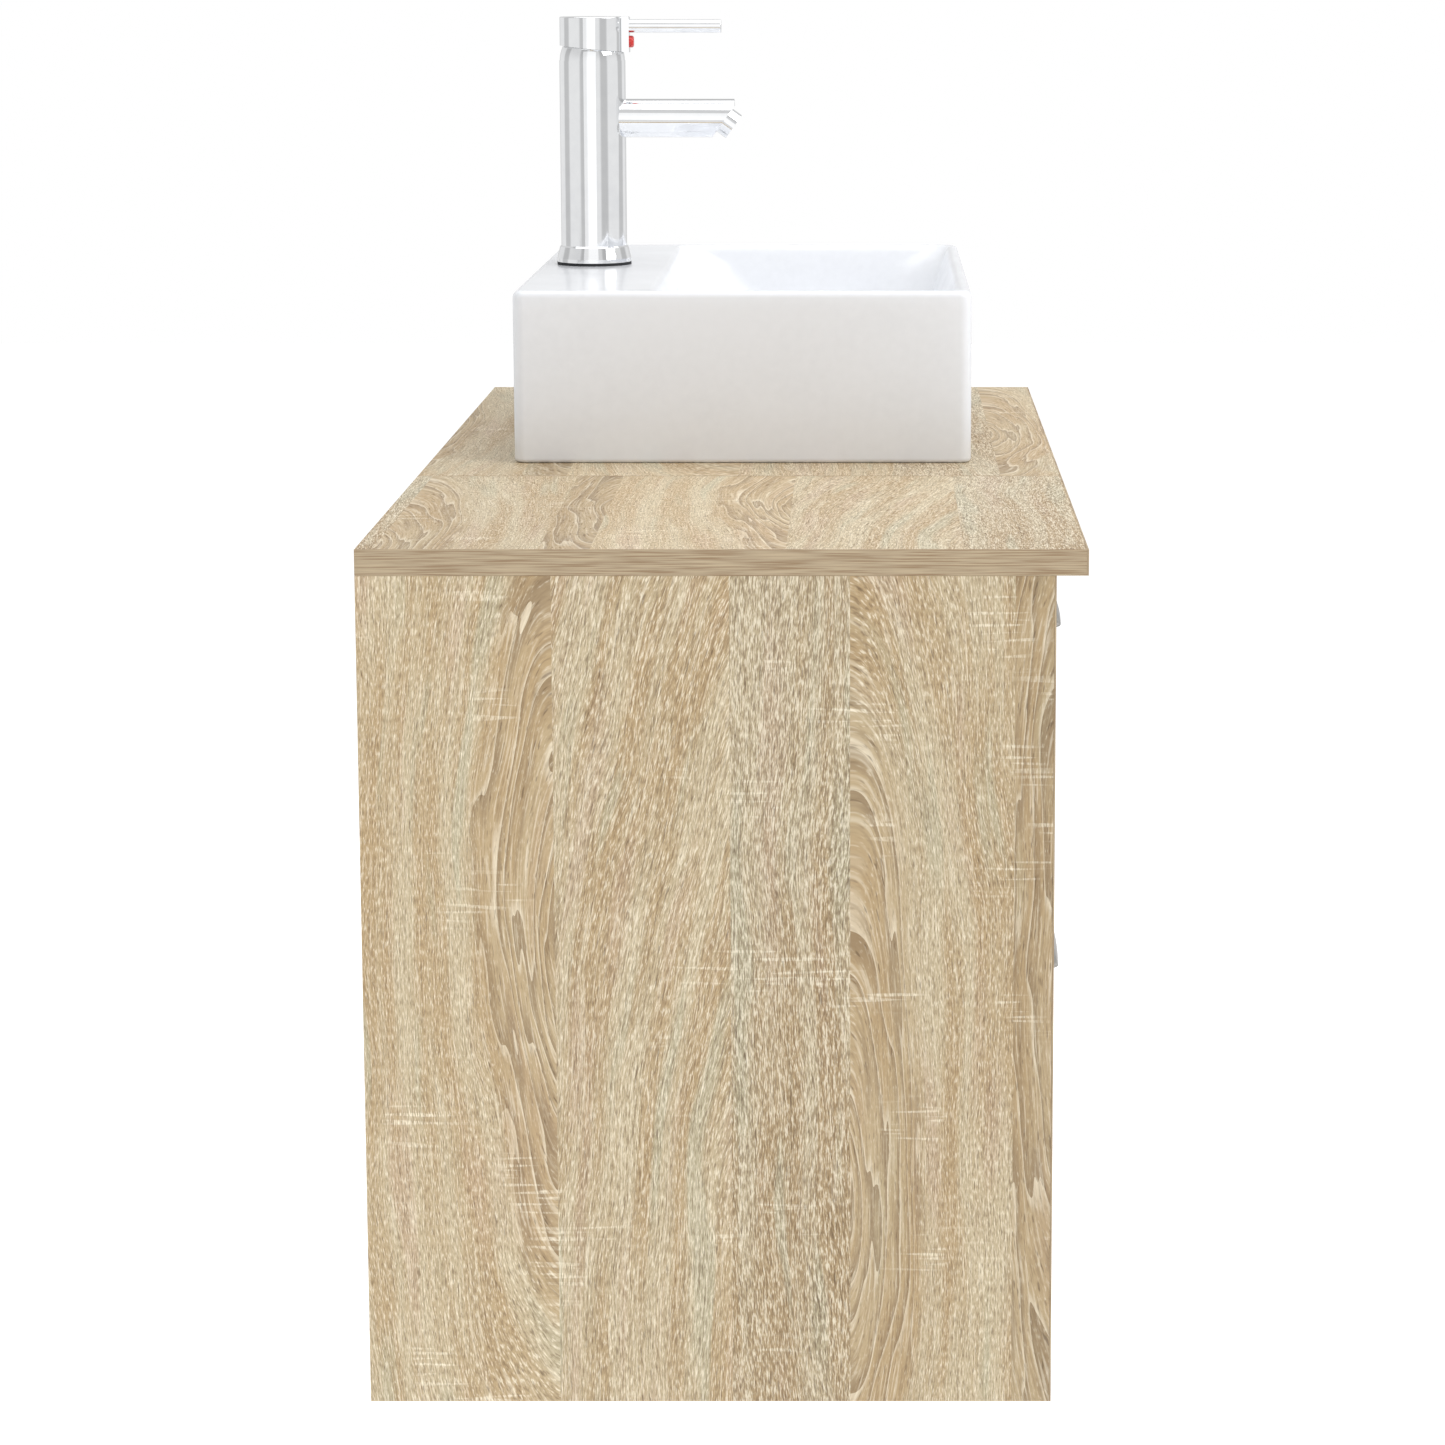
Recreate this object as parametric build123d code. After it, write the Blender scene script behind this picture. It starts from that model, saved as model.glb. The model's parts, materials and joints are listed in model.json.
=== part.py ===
from build123d import *
import math
import os

# A wall-hung bathroom vanity with a vessel basin, in millimetres.
# X runs along the length, the front faces -Y, +Z is up, and the wall is the plane Y = 0.
# Z = 0 is the line of the wall screws.

# Driving dimensions
LENGTH = 800.0
SINK_UNIT = 500.0
COUNTER_DEPTH = 412.0
BODY_DEPTH = 394.0
BODY_HEIGHT = 485.0
BOARD = 15.0
SCREW_LINE_DROP = 50.0
SEAM = 0.5
RAIL_TALL = 100.0
LOW_RAIL_TALL = 80.0
FRONT_RAIL_WIDE = 60.0
BACK_SHEET = 3.0
GROOVE = 5.0

BASIN_LENGTH = 405.0
BASIN_DEPTH = 300.0
BASIN_TALL = 113.0
BASIN_X = 162.5
BASIN_WALL = 9.0
BOWL_LENGTH = 389.0
BOWL_WIDTH = 201.0
BOWL_FRONT_RIM = 8.0
DRAIN_R = 22.5

TAP_X = 183.0
TAP_Y = -94.0
TAP_R = 23.25
TAP_PIVOT = 143.5
DOME_R = 22.9
HEAD_R = 22.8
HEAD_TOP = 174.0
SPOUT_R = 13.5
SPOUT_AXIS = 103.0
SPOUT_REACH = 100.0
LEVER_R = 4.7
LEVER_AXIS = 167.5
LEVER_REACH = 91.0
AERATOR_R = 9.85
AERATOR_DROP = 36.0

FRONT_GAP = 2.0
FRONT_TALL = 239.0
FRONT_STEP = 243.0
BOX_DEPTH = 350.0
BOX_TALL = 120.0
BOX_BOARD = 12.0
BOX_LIFT = 18.5
RUNNER_ROOM = 12.5
BOTTOM_SHEET = 4.0
NOTCH_HALF = 65.0
NOTCH_AHEAD = 55.0
GRIP_LONG = 150.0
GRIP_THICK = 5.5
GRIP_TALL = 15.0
GRIP_CORNER_R = 1.8
GRIP_LEAN = 17.0
GRIP_OUT = 25.3
GRIP_UP = 12.6
HANDLE_PITCH = 128.0
POST_R = 4.5
ROLLER_R = 10.5
AXLE_R = 2.5
STEEL = 1.2

# Carcass fittings: a bolt from the panel into the board's edge, drawn tight by a cam in the board
CAM_R = 7.5
CAM_DEEP = 12.0
CAM_SET = 24.0
BOLT_R = 3.0
BOLT_IN_PANEL = 11.0
CAM_PAIR_HALF = 30.0
SCREW_R = 2.0
SCREW_HEAD_R = 4.0
SCREW_HEAD_TALL = 2.5
SLEEVE_R = 2.5
SLEEVE_HEAD_R = 6.5
SLEEVE_HEAD_TALL = 2.0
SHELF_PIN_R = 2.5
SHELF_PIN_IN_PANEL = 8.0
REAR_SET_Y = -60.0
FRONT_SET_Y = -334.0
SHELF_GAP = 0.5
WALL_SCREW_R = 4.0
WALL_SCREW_SPACING = {"side": 200.0, "sink": 400.0}
PLATE = 2.0
PLATE_WIDE = 50.0
PLATE_TALL = 35.0

# Basin
BASIN_CORNER_R = 8.0
BASIN_TOP_R = 4.5
BASIN_FOOT_R = 3.0
COUNTER_DRAIN_R = 36.0
HOSE_HOLE_R = 25.0
DECK_THICK = 12.0
TAP_HOLE_R = 17.5
BOWL_STAGES = ((0.0, 12.0, 0.0), (6.0, 34.0, 14.0), (15.0, 52.0, 40.0), (42.0, 52.0, 96.0))
BOWL_FLOOR_UP = 17.0
OVERFLOW_DROP = 30.0
OVERFLOW_FACE_Y = -154.0
OVERFLOW_R = 13.2
OVERFLOW_RING_R = 13.0
OVERFLOW_RING_BORE_R = 5.8
DUCT_Y = -135.0
DUCT_R = 7.0
DUCT_WALL = 7.0
DRAIN_COLUMN_R = 34.0
DRAIN_PORT_UP = 6.5
DRAIN_PORT_R = 4.0

# Waste and trap
WASTE_R = 20.9
WASTE_BORE_R = 17.5
WASTE_FLANGE_R = 31.5
WASTE_LONG = 85.0
PLUG_TRAVEL = 8.0
PLUG_STEM_R = 4.0
PLUG_R = 30.5
TAIL_R = 16.0
TAIL_BORE_R = 14.4
TRAP_R = 31.0
TRAP_INNER_R = 27.5
TRAP_NECK_R = 21.0
TRAP_NUT_R = 26.0
OUTLET_Z = -110.0
OUTLET_END = 57.0
OUTLET_BEAD = 3.0

# Inside the tap
BORE_R = 18.0
BORE_FLOOR = 102.0
INLET_SET = 9.5
INLET_R = 4.75
CHANNEL_R = 3.5
STUD_R = 4.0
STUD_SET = 12.0
CARRIER_R = 12.0
CARRIER_FLOOR = 122.0
CARTRIDGE_TOP = 134.0
SPINDLE = 7.0
SPINDLE_TOP = 171.0
PIN_R = 1.5
HEAD_GAP = 0.3
DOME_OPENING_R = 14.5
BOSS_REACH = 26.3
BOSS_WIDE = 17.0
RIM_REAR = 154.0
RIM_FRONT = 149.5

# Drawer runners
RUNNER_TALL = 24.0
FLANGE = 10.0
ROLLER_WIDE = 6.0
ROLLER_UP = 12.0
ROLLER_SET = 13.0
AXLE_GAP = 0.06
AXLE_LONG = 8.0

# Worked out from the driving dimensions
X_LEFT = -LENGTH / 2
X_RIGHT = LENGTH / 2
X_SEAM = X_RIGHT - SINK_UNIT
Z_TOP = SCREW_LINE_DROP
Z_BOTTOM = Z_TOP - BODY_HEIGHT
Z_COUNTER = Z_TOP + BOARD
Z_DECK = Z_COUNTER + BASIN_TALL
BODY_Y = (-BODY_DEPTH, 0.0)
BODY_Z = (Z_BOTTOM, Z_TOP)
SINK_X = (X_SEAM + BOARD, X_RIGHT - BOARD)
SIDE_X = (X_LEFT + BOARD, X_SEAM - BOARD)
FRONT_BACK_Y = -BODY_DEPTH + BOARD
BASIN_Y = -COUNTER_DEPTH / 2
BASIN_FRONT_Y = BASIN_Y - BASIN_DEPTH / 2
BOWL_Y = BASIN_FRONT_Y + BOWL_FRONT_RIM + BOWL_WIDTH / 2
MODULE_X = (X_SEAM + X_RIGHT) / 2
FLOOR_Z = Z_COUNTER + BOWL_FLOOR_UP
OVERFLOW_Z = Z_DECK - OVERFLOW_DROP
DRAIN_PORT_Z = Z_COUNTER + DRAIN_PORT_UP
WASTE_END_Z = Z_COUNTER - WASTE_LONG
SINK_BOTTOM_Y = (FRONT_BACK_Y + 2.0, 0.0)
RAIL_Y = (-BOARD, 0.0)
RAIL_MID_Y = -BOARD / 2
TOP_RAIL_Z = (Z_TOP - RAIL_TALL, Z_TOP)
LOW_RAIL_Z = (Z_BOTTOM + BOARD, Z_BOTTOM + BOARD + LOW_RAIL_TALL)
FLAT_Z = (Z_TOP - BOARD, Z_TOP)
SIDE_RAIL_Y = (-BODY_DEPTH, -BODY_DEPTH + FRONT_RAIL_WIDE)
SINK_RAIL_Y = (SINK_BOTTOM_Y[0], SINK_BOTTOM_Y[0] + FRONT_RAIL_WIDE)
FLOOR_BOARD_Z = Z_BOTTOM + BOARD / 2
SHELF_Z = (Z_BOTTOM + BODY_HEIGHT / 2 - BOARD / 2, Z_BOTTOM + BODY_HEIGHT / 2 + BOARD / 2)

BASE = (Align.CENTER, Align.CENTER, Align.MIN)
HANGING = (Align.CENTER, Align.CENTER, Align.MAX)
ALONG = (1, 0, 0)
UP = (0, 0, 1)
DOWN = (0, 0, -1)
FORWARD = (0, -1, 0)
BACKWARD = (0, 1, 0)


def slab(x, y, z):
    """A board between two X, two Y and two Z values."""
    middle = Pos((x[0] + x[1]) / 2, (y[0] + y[1]) / 2, (z[0] + z[1]) / 2)
    return middle * Box(abs(x[1] - x[0]), abs(y[1] - y[0]), abs(z[1] - z[0]))


def rod(start, toward, radius, length):
    """A round bar from a point along a direction."""
    return Plane(origin=start, z_dir=toward) * Cylinder(radius, length, align=BASE)


def tube(start, toward, radius, bore, length):
    """A round bar with a hole along it."""
    return rod(start, toward, radius, length) - rod(start, toward, bore, length)


def turned(at, outline):
    """A solid of revolution about the vertical line through a point, from (radius, height) points."""
    section = Plane.XZ * make_face(Polyline(*outline, close=True))
    return Pos(*at) * revolve(section, Axis.Z)


def save(name, *pieces):
    """Writes one node. A node of several pieces keeps them as separate solids."""
    solids = [solid for piece in pieces for solid in piece.solids()]
    shape = solids[0] if len(solids) == 1 else Compound(solids)
    export_step(shape, f"parts/{name}.step")


def cam_joint(face_x, inward, at_y, at_z, from_face):
    """The bolt and the cam of one joint. inward is +1 or -1 along X, from_face the cam's direction."""
    bolt = rod((face_x - inward * BOLT_IN_PANEL, at_y, at_z), (inward, 0, 0), BOLT_R, BOLT_IN_PANEL + CAM_SET)
    drop = Vector(*from_face) * (BOARD / 2)
    seat = Vector(face_x + inward * CAM_SET, at_y, at_z) + drop
    cam = rod(seat, -Vector(*from_face), CAM_R, CAM_DEEP)
    return [bolt - cam, cam]


def board_joints(span_x, ys, zs, from_face):
    """Joints at both ends of a board that lies between two panels."""
    found = []
    for y in ys:
        for z in zs:
            found += cam_joint(span_x[0], 1, y, z, from_face)
            found += cam_joint(span_x[1], -1, y, z, from_face)
    return found


def cut(piece, tools):
    """The piece with every tool that reaches it taken out."""
    for tool in tools:
        piece = piece - tool
    return piece


def wall_screw_xs(unit):
    """The X places of a unit's two wall screws."""
    middle = (SIDE_X[0] + SIDE_X[1]) / 2 if unit == "side" else MODULE_X
    half = WALL_SCREW_SPACING[unit] / 2
    return middle - half, middle + half


def wall_screw_holes(unit):
    """The holes through a wall rail and its steel plates."""
    return [rod((x, 1, 0), FORWARD, WALL_SCREW_R, 30) for x in wall_screw_xs(unit)]


def wall_plates(unit):
    """Steel plates that spread the load of the wall screws on the rail."""
    plates = []
    for x in wall_screw_xs(unit):
        wide, tall = (x - PLATE_WIDE / 2, x + PLATE_WIDE / 2), (-PLATE_TALL / 2, PLATE_TALL / 2)
        plate = slab(wide, (-BOARD - PLATE, -BOARD), tall)
        plates.append(plate - rod((x, 1, 0), FORWARD, WALL_SCREW_R, 30))
    return plates


def counter_screws():
    """Wood screws up through the front rails into the counter boards."""
    screws = []
    for span, y in ((SIDE_X, SIDE_RAIL_Y), (SINK_X, SINK_RAIL_Y)):
        for x in (span[0] + 60, span[1] - 60):
            at_y = (y[0] + y[1]) / 2
            shank = rod((x, at_y, FLAT_Z[0]), UP, SCREW_R, BOARD + 10)
            head = rod((x, at_y, FLAT_Z[0] - SCREW_HEAD_TALL), UP, SCREW_HEAD_R, SCREW_HEAD_TALL)
            screws.append(head + shank)
    return screws


def unit_connectors():
    """Sleeve bolts that clamp the two units side to side."""
    bolts = []
    for y in (REAR_SET_Y, FRONT_SET_Y):
        for z in (Z_BOTTOM + 60, Z_TOP - 140):
            sleeve = rod((X_SEAM - BOARD, y, z), ALONG, SLEEVE_R, 2 * BOARD)
            for start in (X_SEAM - BOARD - SLEEVE_HEAD_TALL, X_SEAM + BOARD):
                sleeve += rod((start, y, z), ALONG, SLEEVE_HEAD_R, SLEEVE_HEAD_TALL)
            bolts.append(sleeve)
    return bolts


def shelf_pins():
    """Pins in the side panels that the middle shelf rests on."""
    pins = []
    for x, inward in ((SIDE_X[0], 1), (SIDE_X[1], -1)):
        for y in (REAR_SET_Y, FRONT_SET_Y):
            start = (x - inward * SHELF_PIN_IN_PANEL, y, SHELF_Z[0] - SHELF_PIN_R)
            pins.append(rod(start, (inward, 0, 0), SHELF_PIN_R, 2 * SHELF_PIN_IN_PANEL))
    return pins


def side_unit():
    """The open shelf unit at the -X end."""
    joints = board_joints(SIDE_X, (REAR_SET_Y, FRONT_SET_Y), (FLOOR_BOARD_Z,), DOWN)
    joints += board_joints(SIDE_X, (RAIL_MID_Y,), (-CAM_PAIR_HALF, CAM_PAIR_HALF), FORWARD)
    joints += board_joints(SIDE_X, (-BODY_DEPTH + FRONT_RAIL_WIDE / 2,), (Z_TOP - BOARD / 2,), DOWN)
    screws = counter_screws()
    links = unit_connectors()
    pins = shelf_pins()
    back = slab(
        (SIDE_X[0] - GROOVE, SIDE_X[1] + GROOVE),
        (-BOARD, -BOARD + BACK_SHEET),
        (Z_BOTTOM + BOARD, TOP_RAIL_Z[0]),
    )
    save("side_end_panel", cut(slab((X_LEFT, SIDE_X[0]), BODY_Y, BODY_Z), joints + pins + [back]))
    inner = slab((SIDE_X[1], X_SEAM), BODY_Y, BODY_Z)
    save("side_inner_panel", cut(inner, joints + links + pins + [back]))
    save("side_bottom_board", cut(slab(SIDE_X, BODY_Y, (Z_BOTTOM, Z_BOTTOM + BOARD)), joints))
    save("side_wall_rail", cut(slab(SIDE_X, RAIL_Y, TOP_RAIL_Z), joints + wall_screw_holes("side")))
    save("side_front_rail", cut(slab(SIDE_X, SIDE_RAIL_Y, FLAT_Z), joints + screws))
    save("side_back_sheet", back)
    shelf_x = (SIDE_X[0] + SHELF_GAP, SIDE_X[1] - SHELF_GAP)
    save("side_shelf", slab(shelf_x, (-BODY_DEPTH + 8, -BOARD - 1), SHELF_Z))
    save("side_shelf_pins", *pins)
    counter = slab((X_LEFT, X_SEAM - SEAM / 2), (-COUNTER_DEPTH, 0), (Z_TOP, Z_COUNTER))
    save("side_counter", cut(counter, screws))
    return joints


def sink_unit():
    """The drawer unit under the basin."""
    joints = board_joints(SINK_X, (REAR_SET_Y, FRONT_SET_Y), (FLOOR_BOARD_Z,), DOWN)
    joints += board_joints(SINK_X, (RAIL_MID_Y,), (-CAM_PAIR_HALF, CAM_PAIR_HALF), FORWARD)
    joints += board_joints(SINK_X, (RAIL_MID_Y,), (LOW_RAIL_Z[0] + LOW_RAIL_TALL / 2,), FORWARD)
    joints += board_joints(SINK_X, (SINK_RAIL_Y[0] + FRONT_RAIL_WIDE / 2,), (Z_TOP - BOARD / 2,), DOWN)
    screws = counter_screws()
    links = unit_connectors()
    save("sink_left_panel", cut(slab((X_SEAM, SINK_X[0]), BODY_Y, BODY_Z), joints + links))
    save("sink_right_panel", cut(slab((SINK_X[1], X_RIGHT), BODY_Y, BODY_Z), joints))
    save("sink_bottom_board", cut(slab(SINK_X, SINK_BOTTOM_Y, (Z_BOTTOM, Z_BOTTOM + BOARD)), joints))
    upper = cut(slab(SINK_X, RAIL_Y, TOP_RAIL_Z), joints + wall_screw_holes("sink"))
    save("sink_wall_rails", upper, cut(slab(SINK_X, RAIL_Y, LOW_RAIL_Z), joints))
    save("sink_front_rail", cut(slab(SINK_X, SINK_RAIL_Y, FLAT_Z), joints + screws))
    counter = slab((X_SEAM + SEAM / 2, X_RIGHT), (-COUNTER_DEPTH, 0), (Z_TOP, Z_COUNTER))
    counter -= rod((BASIN_X, BOWL_Y, Z_TOP), UP, COUNTER_DRAIN_R, BOARD)
    counter -= rod((TAP_X, TAP_Y, Z_TOP), UP, HOSE_HOLE_R, BOARD)
    save("sink_counter", cut(counter, screws))
    return joints


def bowl(grow):
    """The hollow of the bowl, made larger all round by grow."""
    sections = []
    for inset, corner, drop in BOWL_STAGES:
        size_x = BOWL_LENGTH - 2 * inset + 2 * grow
        size_y = BOWL_WIDTH - 2 * inset + 2 * grow
        level = Z_DECK - drop - (grow if drop else 0)
        level_plane = Plane(origin=(BASIN_X, BOWL_Y, level))
        sections.append(level_plane * RectangleRounded(size_x, size_y, corner + grow))
    return loft(sections)


def basin():
    """The ceramic basin: a box with a raised deck for the tap, hollow beneath."""
    block = Pos(BASIN_X, BASIN_Y, Z_COUNTER) * Box(BASIN_LENGTH, BASIN_DEPTH, BASIN_TALL, align=BASE)
    block = fillet(block.edges().filter_by(Axis.Z), BASIN_CORNER_R)
    block = fillet(block.faces().sort_by(Axis.Z)[-1].edges(), BASIN_TOP_R)
    block = fillet(block.faces().sort_by(Axis.Z)[0].edges(), BASIN_FOOT_R)
    under = Pos(BASIN_X, BASIN_Y, Z_COUNTER) * Box(
        BASIN_LENGTH - 2 * BASIN_WALL, BASIN_DEPTH - 2 * BASIN_WALL, BASIN_TALL - DECK_THICK, align=BASE
    )
    under = fillet(under.edges().filter_by(Axis.Z), 6.0)
    under -= bowl(BASIN_WALL)
    under -= rod((BASIN_X, BOWL_Y, Z_COUNTER), UP, DRAIN_COLUMN_R, 30.0)
    duct_half = DUCT_R + DUCT_WALL
    duct_x = (BASIN_X - duct_half, BASIN_X + duct_half)
    under -= slab(duct_x, (OVERFLOW_FACE_Y - 12.0, DUCT_Y + 13.0), (Z_COUNTER, OVERFLOW_Z + duct_half))
    under -= slab(duct_x, (BOWL_Y, DUCT_Y), (Z_COUNTER, Z_COUNTER + 20.0))
    shell = block - under - bowl(0)
    shell -= rod((BASIN_X, BOWL_Y, FLOOR_Z - 2.0), UP, 32.0, 8.0)
    shell -= rod((BASIN_X, BOWL_Y, Z_COUNTER), UP, DRAIN_R, 20.0)
    shell -= rod((TAP_X, TAP_Y, Z_DECK - DECK_THICK - 1), UP, TAP_HOLE_R, DECK_THICK + 2)
    shell -= rod((BASIN_X, OVERFLOW_FACE_Y, OVERFLOW_Z), FORWARD, OVERFLOW_R, 20.0)
    shell -= rod((BASIN_X, OVERFLOW_FACE_Y, OVERFLOW_Z), BACKWARD, DUCT_R, DUCT_Y - OVERFLOW_FACE_Y)
    shell -= rod((BASIN_X, DUCT_Y, DRAIN_PORT_Z), UP, DUCT_R, OVERFLOW_Z - DRAIN_PORT_Z + DUCT_R)
    shell -= rod((BASIN_X, DUCT_Y, DRAIN_PORT_Z), FORWARD, DRAIN_PORT_R, DUCT_Y - BOWL_Y)
    save("basin", shell)
    ring_at = (BASIN_X, OVERFLOW_FACE_Y, OVERFLOW_Z)
    ring = tube(ring_at, FORWARD, OVERFLOW_RING_R, OVERFLOW_RING_BORE_R, 3.0)
    ring += tube(ring_at, BACKWARD, DUCT_R, OVERFLOW_RING_BORE_R, 6.0)
    save("overflow_ring", ring)


def waste():
    """The basin waste with its push plug."""
    at = (BASIN_X, BOWL_Y, 0)
    body = turned(
        at,
        [
            (WASTE_BORE_R, WASTE_END_Z),
            (WASTE_R, WASTE_END_Z),
            (WASTE_R, FLOOR_Z - 2.0),
            (WASTE_FLANGE_R, FLOOR_Z - 2.0),
            (WASTE_FLANGE_R, FLOOR_Z),
            (29.0, FLOOR_Z + 0.8),
            (WASTE_BORE_R + 2, FLOOR_Z + 0.4),
            (WASTE_BORE_R, FLOOR_Z - 1.6),
        ],
    )
    hub_z = Z_COUNTER - 12.0
    hub = rod((BASIN_X, BOWL_Y, hub_z), UP, 7.5, 10.0)
    for turn in (0, 60, 120):
        arm = Rot(0, 0, turn) * Box(2 * WASTE_BORE_R + 2, 2.5, 6.0, align=BASE)
        hub += Pos(BASIN_X, BOWL_Y, hub_z) * arm
    hub -= rod((BASIN_X, BOWL_Y, hub_z), UP, PLUG_STEM_R + 0.06, 10.0)
    body += hub
    body -= rod((BASIN_X, BOWL_Y, DRAIN_PORT_Z), BACKWARD, DRAIN_PORT_R, 25.0)
    save("waste_body", body)
    plug_z = FLOOR_Z + 1.2 + PLUG_TRAVEL
    plug = turned(
        at,
        [
            (0, hub_z - 14),
            (PLUG_STEM_R, hub_z - 14),
            (PLUG_STEM_R, plug_z - 4),
            (14.0, plug_z),
            (30.0, plug_z),
            (PLUG_R, plug_z + 1.2),
            (29.5, plug_z + 2.6),
            (20.0, plug_z + 4.0),
            (0, plug_z + 4.6),
        ],
    )
    save("waste_plug", plug)
    save("waste_gasket", tube((BASIN_X, BOWL_Y, Z_COUNTER - 3), UP, 31.0, WASTE_R, 3.0))
    nut = tube((BASIN_X, BOWL_Y, Z_COUNTER - 13), UP, 27.0, WASTE_R, 10.0)
    for turn in range(0, 360, 90):
        lug = Rot(0, 0, turn) * (Pos(28.5, 0, 0) * Box(7, 6, 10, align=BASE))
        nut += Pos(BASIN_X, BOWL_Y, Z_COUNTER - 13) * lug
    save("waste_nut", nut - rod((BASIN_X, BOWL_Y, Z_COUNTER - 13), UP, WASTE_R, 10.0))


def coupling_nut(start, toward, wide_bore, narrow_bore):
    """A ribbed plastic nut: wide bore on the thread, narrow bore on the pipe."""
    nut = rod(start, toward, TRAP_NUT_R, 20.0)
    for turn in range(0, 360, 45):
        rib = Rot(0, 0, turn) * (Pos(TRAP_NUT_R, 0, 0) * Cylinder(2.0, 20.0, align=BASE))
        nut += Plane(origin=start, z_dir=toward) * rib
    nut -= rod(start, toward, wide_bore, 12.0)
    return nut - rod(start, toward, narrow_bore, 20.0)


def trap():
    """The bottle trap and its outlet pipe to the wall."""
    at = (BASIN_X, BOWL_Y, 0)
    head_top = OUTLET_Z + 26.0
    head_low = OUTLET_Z - 24.0
    cup_low = head_low - 62.0
    top_nut_z = WASTE_END_Z + 12.0
    tail = turned(
        at,
        [
            (TAIL_BORE_R, cup_low + 22),
            (TAIL_R, cup_low + 22),
            (TAIL_R, WASTE_END_Z - 2),
            (20.0, WASTE_END_Z - 2),
            (20.0, WASTE_END_Z),
            (TAIL_BORE_R, WASTE_END_Z),
        ],
    )
    save("trap_tailpiece", tail)
    head = rod((BASIN_X, BOWL_Y, head_low), UP, TRAP_R, head_top - head_low)
    head += rod((BASIN_X, BOWL_Y, head_top), UP, TRAP_NECK_R, 14.0)
    head += rod((BASIN_X, BOWL_Y, OUTLET_Z), BACKWARD, TRAP_NECK_R, 46.0)
    head -= rod((BASIN_X, BOWL_Y, head_low), UP, TRAP_INNER_R, head_top - head_low - 4)
    head -= rod((BASIN_X, BOWL_Y, head_top - 6), UP, TAIL_R, 24.0)
    head -= rod((BASIN_X, BOWL_Y, OUTLET_Z), BACKWARD, TAIL_R, 50.0)
    save("trap_head", head)
    cup = turned(
        at,
        [
            (0, cup_low),
            (24.0, cup_low),
            (TRAP_R, cup_low + 7),
            (TRAP_R, head_low),
            (TRAP_INNER_R, head_low),
            (TRAP_INNER_R, cup_low + 9),
            (22.0, cup_low + 3.5),
            (0, cup_low + 3.5),
        ],
    )
    save("trap_cup", cup)
    nuts = [
        coupling_nut((BASIN_X, BOWL_Y, top_nut_z), DOWN, WASTE_R, TAIL_R),
        coupling_nut((BASIN_X, BOWL_Y, head_top + 2), UP, TRAP_NECK_R, TAIL_R),
        coupling_nut((BASIN_X, BOWL_Y + 34, OUTLET_Z), BACKWARD, TRAP_NECK_R, TAIL_R),
    ]
    nuts[0] -= rod((BASIN_X, BOWL_Y, WASTE_END_Z - 2), UP, 20.0, 2.0)
    save("trap_nuts", *nuts)
    pipe_start = BOWL_Y + 36.0
    pipe = tube((BASIN_X, pipe_start, OUTLET_Z), BACKWARD, TAIL_R, TAIL_BORE_R, -pipe_start)
    bead_y = -OUTLET_END - OUTLET_BEAD
    pipe += tube((BASIN_X, bead_y, OUTLET_Z), BACKWARD, TAIL_R + 1.5, TAIL_BORE_R, OUTLET_BEAD)
    save("trap_outlet_pipe", pipe)


def tap_point(x, y, z):
    """A point measured from the tap's axis on top of the basin's deck."""
    return (TAP_X + x, TAP_Y + y, Z_DECK + z)


def spout_cut():
    """The tool that slants the spout's end, square to the aerator's axis."""
    toward = (0, -math.cos(math.radians(AERATOR_DROP)), -math.sin(math.radians(AERATOR_DROP)))
    return Plane(origin=tap_point(0, -93.0, 101.6), z_dir=toward), toward


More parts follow.
